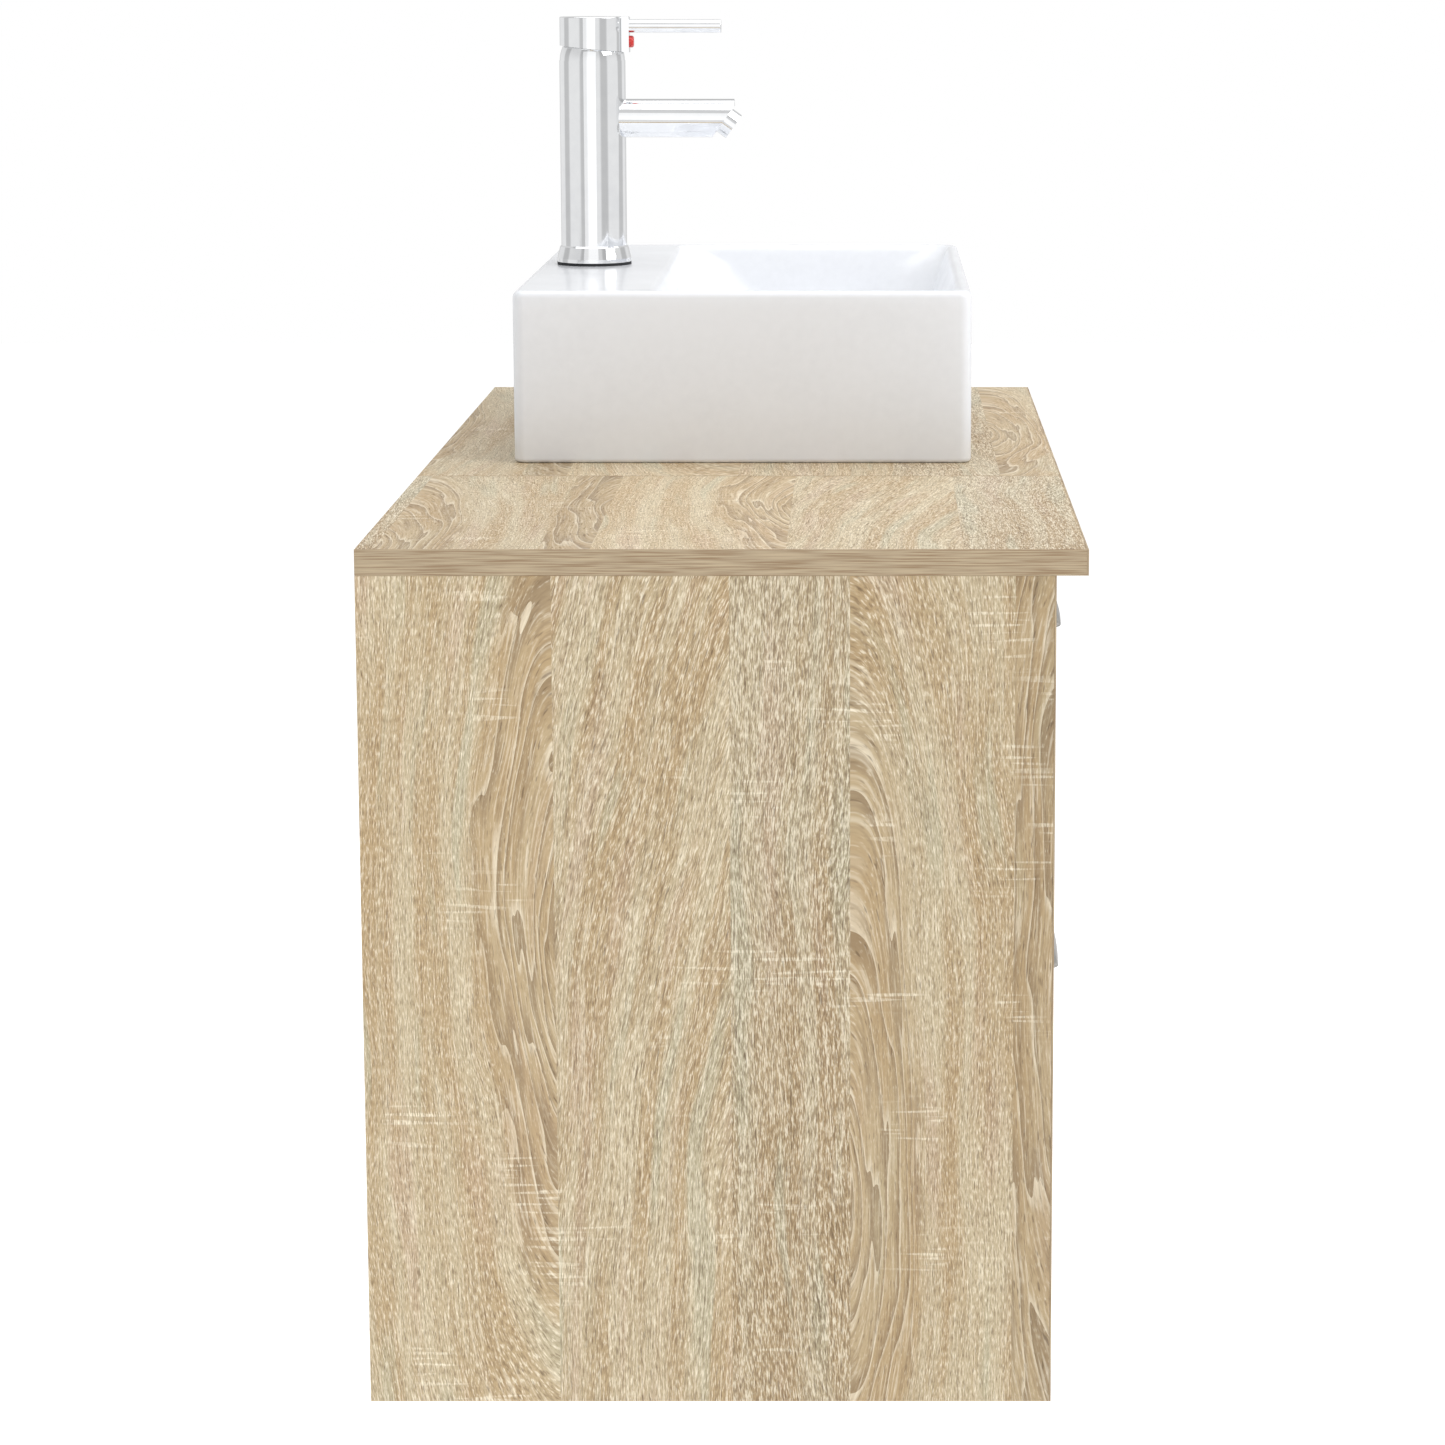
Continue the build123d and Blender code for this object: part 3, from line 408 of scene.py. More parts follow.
@dataclass(frozen=True)
class SawnOakLaminate(Finish):
    """Melamine laminate printed as rough-sawn oak, pressed with a matching texture.

    The eye reads pale planks side by side, fibres that follow long arches, dark short pores, and light saw
    marks across the grain in patches.
    """

    name: str = "sawn_oak_laminate"
    repeat: float = 400.0
    planks: tuple[Plank, ...] = (
        Plank(end=110.0, heart=113.0, level=-150.0, slope=0.20, arch=1.0, tone=1.04),
        Plank(end=210.0, heart=335.0, level=-480.0, slope=0.30, arch=0.0, tone=1.00),
        Plank(end=278.0, heart=520.0, level=-150.0, slope=0.25, arch=0.0, tone=0.92, coarse=1.35),
        Plank(end=371.0, heart=274.0, level=-310.0, slope=0.16, arch=1.0, tone=0.98),
        Plank(end=400.0, heart=402.0, level=-170.0, slope=0.12, arch=1.0, tone=0.93),
    )
    heart_repeat: float = 640.0
    sway_size: tuple[float, float] = (60.0, 190.0)
    sway: float = 9.0
    plank_step: float = 7.31
    flame: Grain = Grain(12.0, 260.0, 3.0)
    blush: Grain = Grain(15.0, 190.0, 41.0)
    streak: Grain = Grain(3.2, 110.0, 19.0)
    fibre: Grain = Grain(0.9, 34.0, 11.0, detail=1.0)
    pore: Grain = Grain(0.8, 10.0, 29.0, detail=1.0)
    cell: Grain = Grain(0.55, 5.0, 53.0, rough=0.6)
    ground: str = "C5B493"
    tan: Layer = Layer("B69C74", 0.36, 0.64, 1.0)
    pink: Layer = Layer("BFA488", 0.54, 0.72, 0.55)
    green: Layer = Layer("B9B397", 0.44, 0.32, 0.6)
    brown_streak: Layer = Layer("6F563A", 0.55, 0.75, 0.14)
    ring_pitch: float = 7.2
    ring_wander: float = 6.0
    ring_ground: Layer = Layer("B69C74", 54.0, 38.0, 0.6)
    ring_edges: tuple[Layer, ...] = (Layer("6F563A", 0.45, 0.98, 0.46), Layer("FBF1DA", 0.20, 0.02, 0.40))
    fibre_layers: tuple[Layer, ...] = (Layer("FBF1DA", 0.53, 0.72, 0.34), Layer("6F563A", 0.47, 0.28, 0.30))
    cell_layers: tuple[Layer, ...] = (Layer("FBF1DA", 0.51, 0.68, 0.66), Layer("6F563A", 0.49, 0.32, 0.56))
    calm_inside: float = 0.45
    dark_pore: Layer = Layer("5C4630", 0.63, 0.74, 0.55)
    saw_patch: tuple[float, float] = (70.0, 52.0)
    saw_line: tuple[float, float] = (45.0, 2.3)
    saw_mark: Layer = Layer("FBF1DA", 0.60, 0.72, 1.0)
    saw_wear: tuple[float, float] = (0.05, 0.62)
    gloss: tuple[float, float] = (0.46, 0.62)
    relief: float = 0.1

    def stepped(
        self, tree: bpy.types.NodeTree, place: bpy.types.NodeSocket, values: Sequence[float]
    ) -> bpy.types.NodeSocket:
        """A value that changes from plank to plank across the sheet.

        Args:
            tree: the material's nodes.
            place: how far across the repeat a point lies.
            values: the value of each plank.

        Returns:
            The value at that point.
        """
        total = add_node(tree, "ShaderNodeValue")
        total.default_value = values[0]
        for plank, before, after in zip(self.planks, values, values[1:]):
            past = add_node(tree, "ShaderNodeMath", {0: place, 1: plank.end}, operation="GREATER_THAN")
            step = {0: past, 1: after - before, 2: total}
            total = add_node(tree, "ShaderNodeMath", step, operation="MULTIPLY_ADD")
        return total

    def spread(
        self, tree: bpy.types.NodeTree, sheet: bpy.types.NodeSocket, size: tuple[float, float], detail: float
    ) -> bpy.types.NodeSocket:
        """Noise over the sheet that ignores the grain, its features as large as size.

        Args:
            tree: the material's nodes.
            sheet: the place on the sheet.
            size: how large a feature is, across and along.
            detail: how many finer scales are added.

        Returns:
            The noise.
        """
        scaled = {0: sheet, 1: (1 / size[0], 1 / size[1], 0.0)}
        scaled = add_node(tree, "ShaderNodeVectorMath", scaled, operation="MULTIPLY")
        noise = {"Vector": scaled, "Scale": 1.0, "Detail": detail}
        return add_node(tree, "ShaderNodeTexNoise", noise, noise_dimensions="2D")

    def lay(
        self,
        tree: bpy.types.NodeTree,
        base: bpy.types.NodeSocket | tuple,
        value: bpy.types.NodeSocket,
        layer: Layer,
        within: bpy.types.NodeSocket | None = None,
    ) -> tuple[bpy.types.NodeSocket, bpy.types.NodeSocket]:
        """Lays a colour over the base.

        Args:
            tree: the material's nodes.
            base: the colour so far.
            value: what decides where the layer lies.
            layer: the colour, its limits and its strength.
            within: what else its strength is multiplied by.

        Returns:
            The colour with the layer on it, and the layer's strength.
        """
        span = {"Value": value, "From Min": layer.start, "From Max": layer.stop, "To Max": layer.most}
        amount = add_node(tree, "ShaderNodeMapRange", span, interpolation_type="SMOOTHSTEP")
        if within:
            amount = add_node(tree, "ShaderNodeMath", {0: amount, 1: within}, operation="MULTIPLY")
        mixed = {0: amount, 6: base, 7: linear(layer.colour)}
        return add_node(tree, "ShaderNodeMix", mixed, data_type="RGBA").node.outputs[2], amount

    def ring_distance(
        self,
        tree: bpy.types.NodeTree,
        sheet: bpy.types.NodeSocket,
        place: bpy.types.NodeSocket,
        along: bpy.types.NodeSocket,
    ) -> bpy.types.NodeSocket:
        """Distance from the heart of each plank's arches: its contours are the growth rings.

        Args:
            tree: the material's nodes.
            sheet: the place on the sheet.
            place: how far across the repeat it lies.
            along: how far along the sheet it lies.

        Returns:
            The distance, in millimetres.
        """
        heart, level, slope = (
            self.stepped(tree, place, values)
            for values in (
                [plank.heart for plank in self.planks],
                [plank.level for plank in self.planks],
                [plank.slope for plank in self.planks],
            )
        )
        # The grain wanders by a few millimetres, slowly.
        sway = self.spread(tree, sheet, self.sway_size, 1.0)
        sway = {0: sway, 1: 2 * self.sway, 2: -self.sway}
        sway = add_node(tree, "ShaderNodeMath", sway, operation="MULTIPLY_ADD")
        side = add_node(tree, "ShaderNodeMath", {0: place, 1: heart}, operation="SUBTRACT")
        side = add_node(tree, "ShaderNodeMath", {0: side, 1: sway}, operation="ADD")
        side = add_node(tree, "ShaderNodeMath", {0: side, 1: 2.0}, operation="POWER")
        rise = add_node(tree, "ShaderNodeMath", {0: along, 1: level}, operation="SUBTRACT")
        limits = {0: rise, 1: self.heart_repeat, 2: -self.heart_repeat}
        rise = add_node(tree, "ShaderNodeMath", limits, operation="WRAP")
        rise = add_node(tree, "ShaderNodeMath", {0: rise, 1: slope}, operation="MULTIPLY")
        rise = add_node(tree, "ShaderNodeMath", {0: rise, 1: 2.0}, operation="POWER")
        square = add_node(tree, "ShaderNodeMath", {0: side, 1: rise}, operation="ADD")
        return add_node(tree, "ShaderNodeMath", {0: square}, operation="SQRT")

    def build(self, tree: bpy.types.NodeTree, shader: bpy.types.Node) -> None:
        """The decor, in millimetres of the printed sheet: U across the grain, V along it."""
        sheet = add_node(tree, "ShaderNodeUVMap", uv_map=DECOR_MAP)
        sheet = add_node(tree, "ShaderNodeVectorMath", {0: sheet, "Scale": 1 / MM}, operation="SCALE")
        across = add_node(tree, "ShaderNodeSeparateXYZ", {0: sheet})
        along = across.node.outputs["Y"]
        place = add_node(tree, "ShaderNodeMath", {0: across, 1: self.repeat, 2: 0.0}, operation="WRAP")
        ring = self.ring_distance(tree, sheet, place, along)
        index = self.stepped(tree, place, [float(i) for i in range(len(self.planks))])
        arch = self.stepped(tree, place, [plank.arch for plank in self.planks])
        tone = self.stepped(tree, place, [plank.tone for plank in self.planks])
        coarse = self.stepped(tree, place, [plank.coarse for plank in self.planks])

        def streaks(grain: Grain) -> bpy.types.NodeSocket:
            """Noise that follows the rings, different on each plank.

            Args:
                grain: the size and character of its streaks.

            Returns:
                The noise.
            """
            near = add_node(tree, "ShaderNodeMath", {0: ring, 1: 1 / grain.wide}, operation="MULTIPLY")
            far = add_node(tree, "ShaderNodeMath", {0: along, 1: 1 / grain.long}, operation="MULTIPLY")
            own = {0: index, 1: self.plank_step, 2: grain.seed}
            own = add_node(tree, "ShaderNodeMath", own, operation="MULTIPLY_ADD")
            spot = add_node(tree, "ShaderNodeCombineXYZ", {0: near, 1: far, 2: own})
            noise = {"Vector": spot, "Scale": 1.0, "Detail": grain.detail, "Roughness": grain.rough}
            return add_node(tree, "ShaderNodeTexNoise", noise, noise_dimensions="3D")

        blush, pores = streaks(self.blush), streaks(self.pore)
        base, _ = self.lay(tree, linear(self.ground), streaks(self.flame), self.tan)
        base, _ = self.lay(tree, base, blush, self.pink)
        base, _ = self.lay(tree, base, blush, self.green)
        base, _ = self.lay(tree, base, streaks(self.streak), self.brown_streak)

        # Growth rings show only near the heart: each ends in a dark edge with a pale line beyond it.
        reach = {"Value": ring, "From Min": self.ring_ground.start, "From Max": self.ring_ground.stop}
        inside = add_node(tree, "ShaderNodeMapRange", reach, interpolation_type="SMOOTHSTEP")
        inside = add_node(tree, "ShaderNodeMath", {0: inside, 1: arch}, operation="MULTIPLY")
        base, _ = self.lay(tree, base, ring, self.ring_ground, arch)
        wave = add_node(tree, "ShaderNodeMath", {0: blush, 1: self.ring_wander}, operation="MULTIPLY")
        wave = {0: ring, 1: 1 / self.ring_pitch, 2: wave}
        wave = add_node(tree, "ShaderNodeMath", wave, operation="MULTIPLY_ADD")
        wave = add_node(tree, "ShaderNodeMath", {0: wave}, operation="FRACT")
        for edge in self.ring_edges:
            base, _ = self.lay(tree, base, wave, edge, inside)

        # The fine texture is calmer inside the arches.
        calm = {0: inside, 1: -self.calm_inside, 2: coarse}
        calm = add_node(tree, "ShaderNodeMath", calm, operation="MULTIPLY_ADD")
        cell = add_node(tree, "ShaderNodeMath", {0: streaks(self.cell), 1: 0.5}, operation="SUBTRACT")
        cell = add_node(tree, "ShaderNodeMath", {0: cell, 1: calm, 2: 0.5}, operation="MULTIPLY_ADD")
        fibre = streaks(self.fibre)
        for layer in self.fibre_layers:
            base, _ = self.lay(tree, base, fibre, layer)
        for layer in self.cell_layers:
            base, _ = self.lay(tree, base, cell, layer)
        base, deep = self.lay(tree, base, pores, self.dark_pore)

        # The saw left light scratches across the grain, in patches.
        patch = {"From Min": self.saw_mark.start, "From Max": self.saw_mark.stop}
        patch["Value"] = self.spread(tree, sheet, self.saw_patch, 1.0)
        patch = add_node(tree, "ShaderNodeMapRange", patch, interpolation_type="SMOOTHSTEP")
        worn = {"Value": cell, "From Min": 0.42, "From Max": 0.60}
        worn["To Min"], worn["To Max"] = self.saw_wear
        worn = add_node(tree, "ShaderNodeMapRange", worn, interpolation_type="SMOOTHSTEP")
        worn = add_node(tree, "ShaderNodeMath", {0: patch, 1: worn}, operation="MULTIPLY")
        lines = self.spread(tree, sheet, self.saw_line, 0.0)
        base, _ = self.lay(tree, base, lines, self.saw_mark, worn)

        toned = add_node(tree, "ShaderNodeVectorMath", {0: base, "Scale": tone}, operation="SCALE")
        height = add_node(tree, "ShaderNodeMath", {0: cell, 1: deep}, operation="SUBTRACT")
        bump = {"Height": height, "Strength": 0.3, "Distance": self.relief * MM}
        bump = add_node(tree, "ShaderNodeBump", bump)
        matt = {"Value": pores, "From Min": 0.45, "From Max": 0.72}
        matt["To Min"], matt["To Max"] = self.gloss
        matt = add_node(tree, "ShaderNodeMapRange", matt, interpolation_type="SMOOTHSTEP")
        tree.links.new(toned, shader.inputs["Base Color"])
        tree.links.new(matt, shader.inputs["Roughness"])
        tree.links.new(bump, shader.inputs["Normal"])
        shader.inputs["IOR"].default_value = 1.5


@dataclass(frozen=True)
class OakEdgeBand(Finish):
    """Printed plastic edging, glued on: a quieter and slightly darker oak, straight along the strip."""

    name: str = "oak_edge_band"
    line_wide: float = 0.8
    line_long: float = 38.0
    ground: str = "AE9B7F"
    dark: str = "967D5E"
    light: str = "BDAA8B"

    def build(self, tree: bpy.types.NodeTree, shader: bpy.types.Node) -> None:
        """Fine lines along the strip."""
        sheet = add_node(tree, "ShaderNodeUVMap", uv_map=DECOR_MAP)
        scale = (1 / MM / self.line_wide, 1 / MM / self.line_long, 1.0)
        spot = add_node(tree, "ShaderNodeVectorMath", {0: sheet, 1: scale}, operation="MULTIPLY")
        noise = {"Vector": spot, "Scale": 1.0, "Detail": 2.0}
        lines = add_node(tree, "ShaderNodeTexNoise", noise, noise_dimensions="2D")
        darker = add_node(tree, "ShaderNodeMapRange", {"Value": lines, "From Min": 0.5, "From Max": 0.34})
        lighter = add_node(tree, "ShaderNodeMapRange", {"Value": lines, "From Min": 0.52, "From Max": 0.72})
        base = {0: darker, 6: linear(self.ground), 7: linear(self.dark)}
        base = add_node(tree, "ShaderNodeMix", base, data_type="RGBA").node.outputs[2]
        base = {0: lighter, 6: base, 7: linear(self.light)}
        base = add_node(tree, "ShaderNodeMix", base, data_type="RGBA").node.outputs[2]
        bump = add_node(tree, "ShaderNodeBump", {"Height": lines, "Strength": 0.25, "Distance": 0.08 * MM})
        tree.links.new(base, shader.inputs["Base Color"])
        tree.links.new(bump, shader.inputs["Normal"])
        shader.inputs["Roughness"].default_value = 0.48


@dataclass(frozen=True)
class Speckled(Finish):
    """A surface of one colour with a fine mottle, a fine relief and an even gloss.

    It serves for what is moulded, cast, glazed, plated or pressed: the fields say which it looks like.
    """

    name: str
    colour: str
    mottle: str
    grain: float
    metallic: float = 0.0
    roughness: float = 0.4
    roughness_spread: float = 0.05
    relief: float = 0.02
    ior: float | None = None
    coat: float = 0.0
    stretch: tuple[float, float, float] = (1.0, 1.0, 1.0)
    broad: float = 0.08
    mottle_span: tuple[float, float] = (0.12, 0.42)
    gloss_span: tuple[float, float] = (0.3, 0.7)

    def build(self, tree: bpy.types.NodeTree, shader: bpy.types.Node) -> None:
        """Two scales of noise in the piece's own coordinates, grain in millimetres."""
        own = add_node(tree, "ShaderNodeTexCoord").node.outputs["Object"]
        scale = tuple(s / self.grain / MM for s in self.stretch)
        spot = add_node(tree, "ShaderNodeVectorMath", {0: own, 1: scale}, operation="MULTIPLY")
        fine = add_node(tree, "ShaderNodeTexNoise", {"Vector": spot, "Scale": 1.0, "Detail": 3.0})
        broad = add_node(tree, "ShaderNodeTexNoise", {"Vector": spot, "Scale": self.broad, "Detail": 2.0})
        mixed = add_node(tree, "ShaderNodeMath", {0: fine, 1: broad}, operation="MULTIPLY")
        amount = {"Value": mixed, "From Min": self.mottle_span[0], "From Max": self.mottle_span[1]}
        amount = add_node(tree, "ShaderNodeMapRange", amount)
        base = {0: amount, 6: linear(self.colour), 7: linear(self.mottle)}
        base = add_node(tree, "ShaderNodeMix", base, data_type="RGBA").node.outputs[2]
        gloss = {
            "Value": broad,
            "From Min": self.gloss_span[0],
            "From Max": self.gloss_span[1],
            "To Min": self.roughness - self.roughness_spread,
            "To Max": self.roughness + self.roughness_spread,
        }
        gloss = add_node(tree, "ShaderNodeMapRange", gloss)
        bump = {"Height": fine, "Strength": 0.3, "Distance": self.relief * MM}
        bump = add_node(tree, "ShaderNodeBump", bump)
        tree.links.new(base, shader.inputs["Base Color"])
        tree.links.new(gloss, shader.inputs["Roughness"])
        tree.links.new(bump, shader.inputs["Normal"])
        shader.inputs["Metallic"].default_value = self.metallic
        if self.ior:
            shader.inputs["IOR"].default_value = self.ior
        shader.inputs["Coat Weight"].default_value = self.coat
        shader.inputs["Coat Roughness"].default_value = 0.04


OAK = SawnOakLaminate()
BAND = OakEdgeBand()
# Vitreous china under a clear glaze: a cool white with a deep, even gloss and a very faint waviness.
CHINA = Speckled("glazed_vitreous_china", "ECEEF2", "E8EAEE", 6.0, roughness=0.17, roughness_spread=0.03,
                 relief=0.01, ior=1.5)
# Brass plated with nickel and chromium: a mirror with a faint haze that breaks up its highlights.
CHROME = Speckled("plated_chrome", "F2F3F4", "E9EAEC", 9.0, metallic=1.0, roughness=0.06,
                  roughness_spread=0.02, relief=0.004)
# Zinc alloy, nickel plated and satin brushed: grey with short scratches along the bar.
SATIN_NICKEL = Speckled("satin_nickel_plate", "B4B2AD", "9C9A95", 0.5, metallic=1.0, roughness=0.30,
                        roughness_spread=0.08, relief=0.01, stretch=(0.05, 1.0, 1.0))
# Moulded EPDM rubber: near black and matt.
RUBBER = Speckled("moulded_rubber", "17181A", "25262A", 1.2, roughness=0.75, ior=1.5)
# Acetal, moulded: warm white, waxy.
ACETAL = Speckled("moulded_acetal", "DAD8D0", "CFCCC2", 2.0, roughness=0.42, ior=1.48)
# Cast brass as machined: yellow with a dull, fine turned texture.
BRASS = Speckled("turned_brass", "B89A5A", "9F8145", 0.6, metallic=1.0, roughness=0.34,
                 stretch=(1.0, 1.0, 4.0))
# Steel, zinc plated: blue-grey with a spangled haze.
ZINC = Speckled("zinc_plated_steel", "B9BDC2", "A3A8AE", 1.6, metallic=1.0, roughness=0.34,
                roughness_spread=0.09)
# Polypropylene, moulded: white, softly glossy, faintly mottled.
TRAP_PLASTIC = Speckled("moulded_polypropylene", "E9EAEA", "DCDEDF", 3.0, roughness=0.34, ior=1.49)
# Steel, powder coated off-white: a fine orange peel.
POWDER_COAT = Speckled("powder_coated_steel", "DEDDD8", "D3D1CB", 1.4, roughness=0.46, relief=0.05)
# Nylon, moulded: grey-white, matt where it has rolled.
NYLON = Speckled("moulded_nylon", "C9C8C2", "B6B4AC", 1.8, roughness=0.5, ior=1.53)
# Enamel on metal: a clear red dot under gloss.
RED_ENAMEL = Speckled("red_enamel", "D8261C", "C01B14", 1.0, roughness=0.2, ior=1.5, coat=0.6)
# Fibreboard with a printed pale face: matt, with short flecks.
HARDBOARD = Speckled("printed_hardboard", "D2C2A2", "BBA684", 1.1, roughness=0.62, relief=0.05,
                     stretch=(1.0, 1.0, 0.2))
# Particle board with a plain melamine face in an oak tone, as drawer boxes have: pale, with a linen mottle.
DRAWER_BOARD = Speckled("plain_melamine_board", "CDBF9F", "C0B090", 0.9, roughness=0.5, relief=0.04)
# Polystyrene caps moulded in an oak tone: plain and softly glossy.
COVER = Speckled("moulded_cover_cap", "CDB895", "BFA984", 1.5, roughness=0.42, ior=1.55)


# ---------------------------------------------------------------- boards


@dataclass(frozen=True)
class Hole:
    """A round hole through a board: a point on its axis, the axis and the radius."""

    at: tuple[float, float, float]
    axis: Axis
    radius: float
    reach: float = 40.0

    def tool(self) -> bmesh.types.BMesh:
        """A rod that is longer than any board is thick."""
        way = Vector((0, 0, 0))
        way[self.axis.value] = 1
        rod = [(0, -self.reach), (self.radius, -self.reach), (self.radius, self.reach), (0, self.reach)]
        return lathe(rod, Vector(self.at), way, 48)


@dataclass(frozen=True)
class OakBoard:
    """A laminated board with its glued edge bands, each band a strip of its own.

    Attributes:
        node: the CAD node that it stands for.
        grain: the direction of the grain.
        bands: the edges that are banded, as a sign and an axis each.
        shift: where on the decor sheet it was cut, across and along.
        holes: holes through it.
        band_thick: how thick its bands are.
        band_step: how far apart on the decor sheet its bands are cut.
        arris: how far the board's own edges are eased.
        band_arris: how far the edges of its bands are eased.
    """

    node: str
    grain: Axis
    bands: tuple[str, ...]
    shift: tuple[float, float] = (0.0, 0.0)
    holes: tuple[Hole, ...] = ()
    band_thick: float = 1.0
    band_step: float = 31.0
    arris: float = 0.35
    band_arris: float = 0.2

    def lay_decor(self, shape: bmesh.types.BMesh, grain: Axis, shift: tuple[float, float]) -> None:
        """Writes each corner's place on the decor sheet, in metres, with the grain along V.

        Args:
            shape: the board or strip.
            grain: the direction of its grain.
            shift: where on the sheet it was cut.
        """
        layer = shape.loops.layers.uv.verify()
        for face in shape.faces:
            facing = max(range(3), key=lambda i: abs(face.normal[i]))
            others = [i for i in range(3) if i not in (facing, grain.value)]
            wide = others[0]
            for loop in face.loops:
                place = loop.vert.co
                u = -place[wide] if wide == Axis.Y.value else place[wide]
                v = place[grain.value]
                loop[layer].uv = ((u + shift[0]) * MM, (v + shift[1]) * MM)

    def strip(self, low: Vector, high: Vector, number: int) -> bpy.types.Object:
        """One edge band, its lines running along it.

        Args:
            low: its low corner.
            high: its high corner.
            number: which of the board's bands it is, from 0.

        Returns:
            The band.
        """
        shape = box_shape(low, high, self.band_arris)
        size = high - low
        longest = max(range(3), key=lambda i: size[i])
        self.lay_decor(shape, Axis(longest), (self.shift[0] + self.band_step * number, self.shift[1]))
        made = as_object(f"{self.node}_band_{number + 1}", shape)
        made.data.uv_layers[0].name = DECOR_MAP
        return made

    def build(self) -> None:
        """Makes the board and its bands, and gives them the board's place in the frame."""
        low, high = node_box(self.node)
        strips = []
        for number, side in enumerate(self.bands):
            axis = "XYZ".index(side[1])
            near, far = low.copy(), high.copy()
            if side[0] == "-":
                far[axis] = low[axis] + self.band_thick
                low[axis] += self.band_thick
            else:
                near[axis] = high[axis] - self.band_thick
                high[axis] -= self.band_thick
            strips.append(self.strip(near, far, number))
        shape = box_shape(low, high, self.arris)
        self.lay_decor(shape, self.grain, self.shift)
        core = as_object(f"{self.node}_board", shape)
        core.data.uv_layers[0].name = DECOR_MAP
        if self.holes:
            carve(core, [hole.tool() for hole in self.holes])
        finish_piece(core, OAK, [self.node], None)
        for made in strips:
            finish_piece(made, BAND, [self.node], None)


@dataclass(frozen=True)
class Carcass:
    """The two units, their counters and the drawer fronts: every oak board."""

    screw_r: float = 4.0
    side_spacing: float = 200.0
    drain_hole_r: float = 36.0
    hose_hole_r: float = 25.0

    def screw_holes(self, rail: str, spacing: float) -> tuple[Hole, ...]:
        """The two wall screw holes of a rail, on the line Z = 0.

        Args:
            rail: the node of the rail.
            spacing: how far apart they are.

        Returns:
            The holes.
        """
        middle = node_middle(rail)
        return tuple(Hole((middle.x + s * spacing / 2, middle.y, 0.0), Axis.Y, self.screw_r) for s in (-1, 1))

    def boards(self) -> list[OakBoard]:
        """Every board, with its grain, its bands and its place on the decor sheet.

        Returns:
            The boards in order.
        """
        drain, tap = node_middle("waste_body"), node_middle("tap_gasket")
        level = node_middle("sink_counter").z
        counter_holes = (
            Hole((drain.x, drain.y, level), Axis.Z, self.drain_hole_r),
            Hole((tap.x, tap.y, level), Axis.Z, self.hose_hole_r),
        )
        rail_holes = self.screw_holes("side_wall_rail", self.side_spacing)
        front = "-Y"
        return [
            OakBoard("side_end_panel", Axis.Z, (front,), (0.0, 0.0)),
            OakBoard("side_inner_panel", Axis.Z, (front,), (523.0, 900.0)),
            OakBoard("side_bottom_board", Axis.X, (front,), (90.0, 310.0)),
            OakBoard("side_shelf", Axis.X, (front,), (260.0, 820.0)),
            OakBoard("side_front_rail", Axis.X, (front,), (40.0, 1500.0)),
            OakBoard("side_wall_rail", Axis.X, (), (75.0, 700.0), rail_holes),
            OakBoard("side_counter", Axis.X, (front, "-X", "+X"), (-132.0, 68.0)),
            OakBoard("sink_left_panel", Axis.Z, (front,), (820.0, 300.0)),
            OakBoard("sink_right_panel", Axis.Z, (front,), (-33.0, 420.0)),
            OakBoard("sink_bottom_board", Axis.X, (front,), (310.0, 150.0)),
            OakBoard("sink_front_rail", Axis.X, (front,), (20.0, 330.0)),
            OakBoard("sink_counter", Axis.X, (front, "+X", "-X"), (-95.0, -430.0), counter_holes),
            OakBoard("lower_drawer_front", Axis.X, ("-X", "+X", "-Z", "+Z"), (160.0, 1010.0)),
            OakBoard("upper_drawer_front", Axis.X, ("-X", "+X", "-Z", "+Z"), (420.0, 560.0)),
        ]

    def build(self) -> None:
        """Builds the boards one by one."""
        for board in self.boards():
            board.build()


# ---------------------------------------------------------------- basin


@dataclass(frozen=True)
class Ring:
    """A level outline of the basin: a rectangle with rounded corners."""

    middle: tuple[float, float]
    half: tuple[float, float]
    corner: float
    level: float


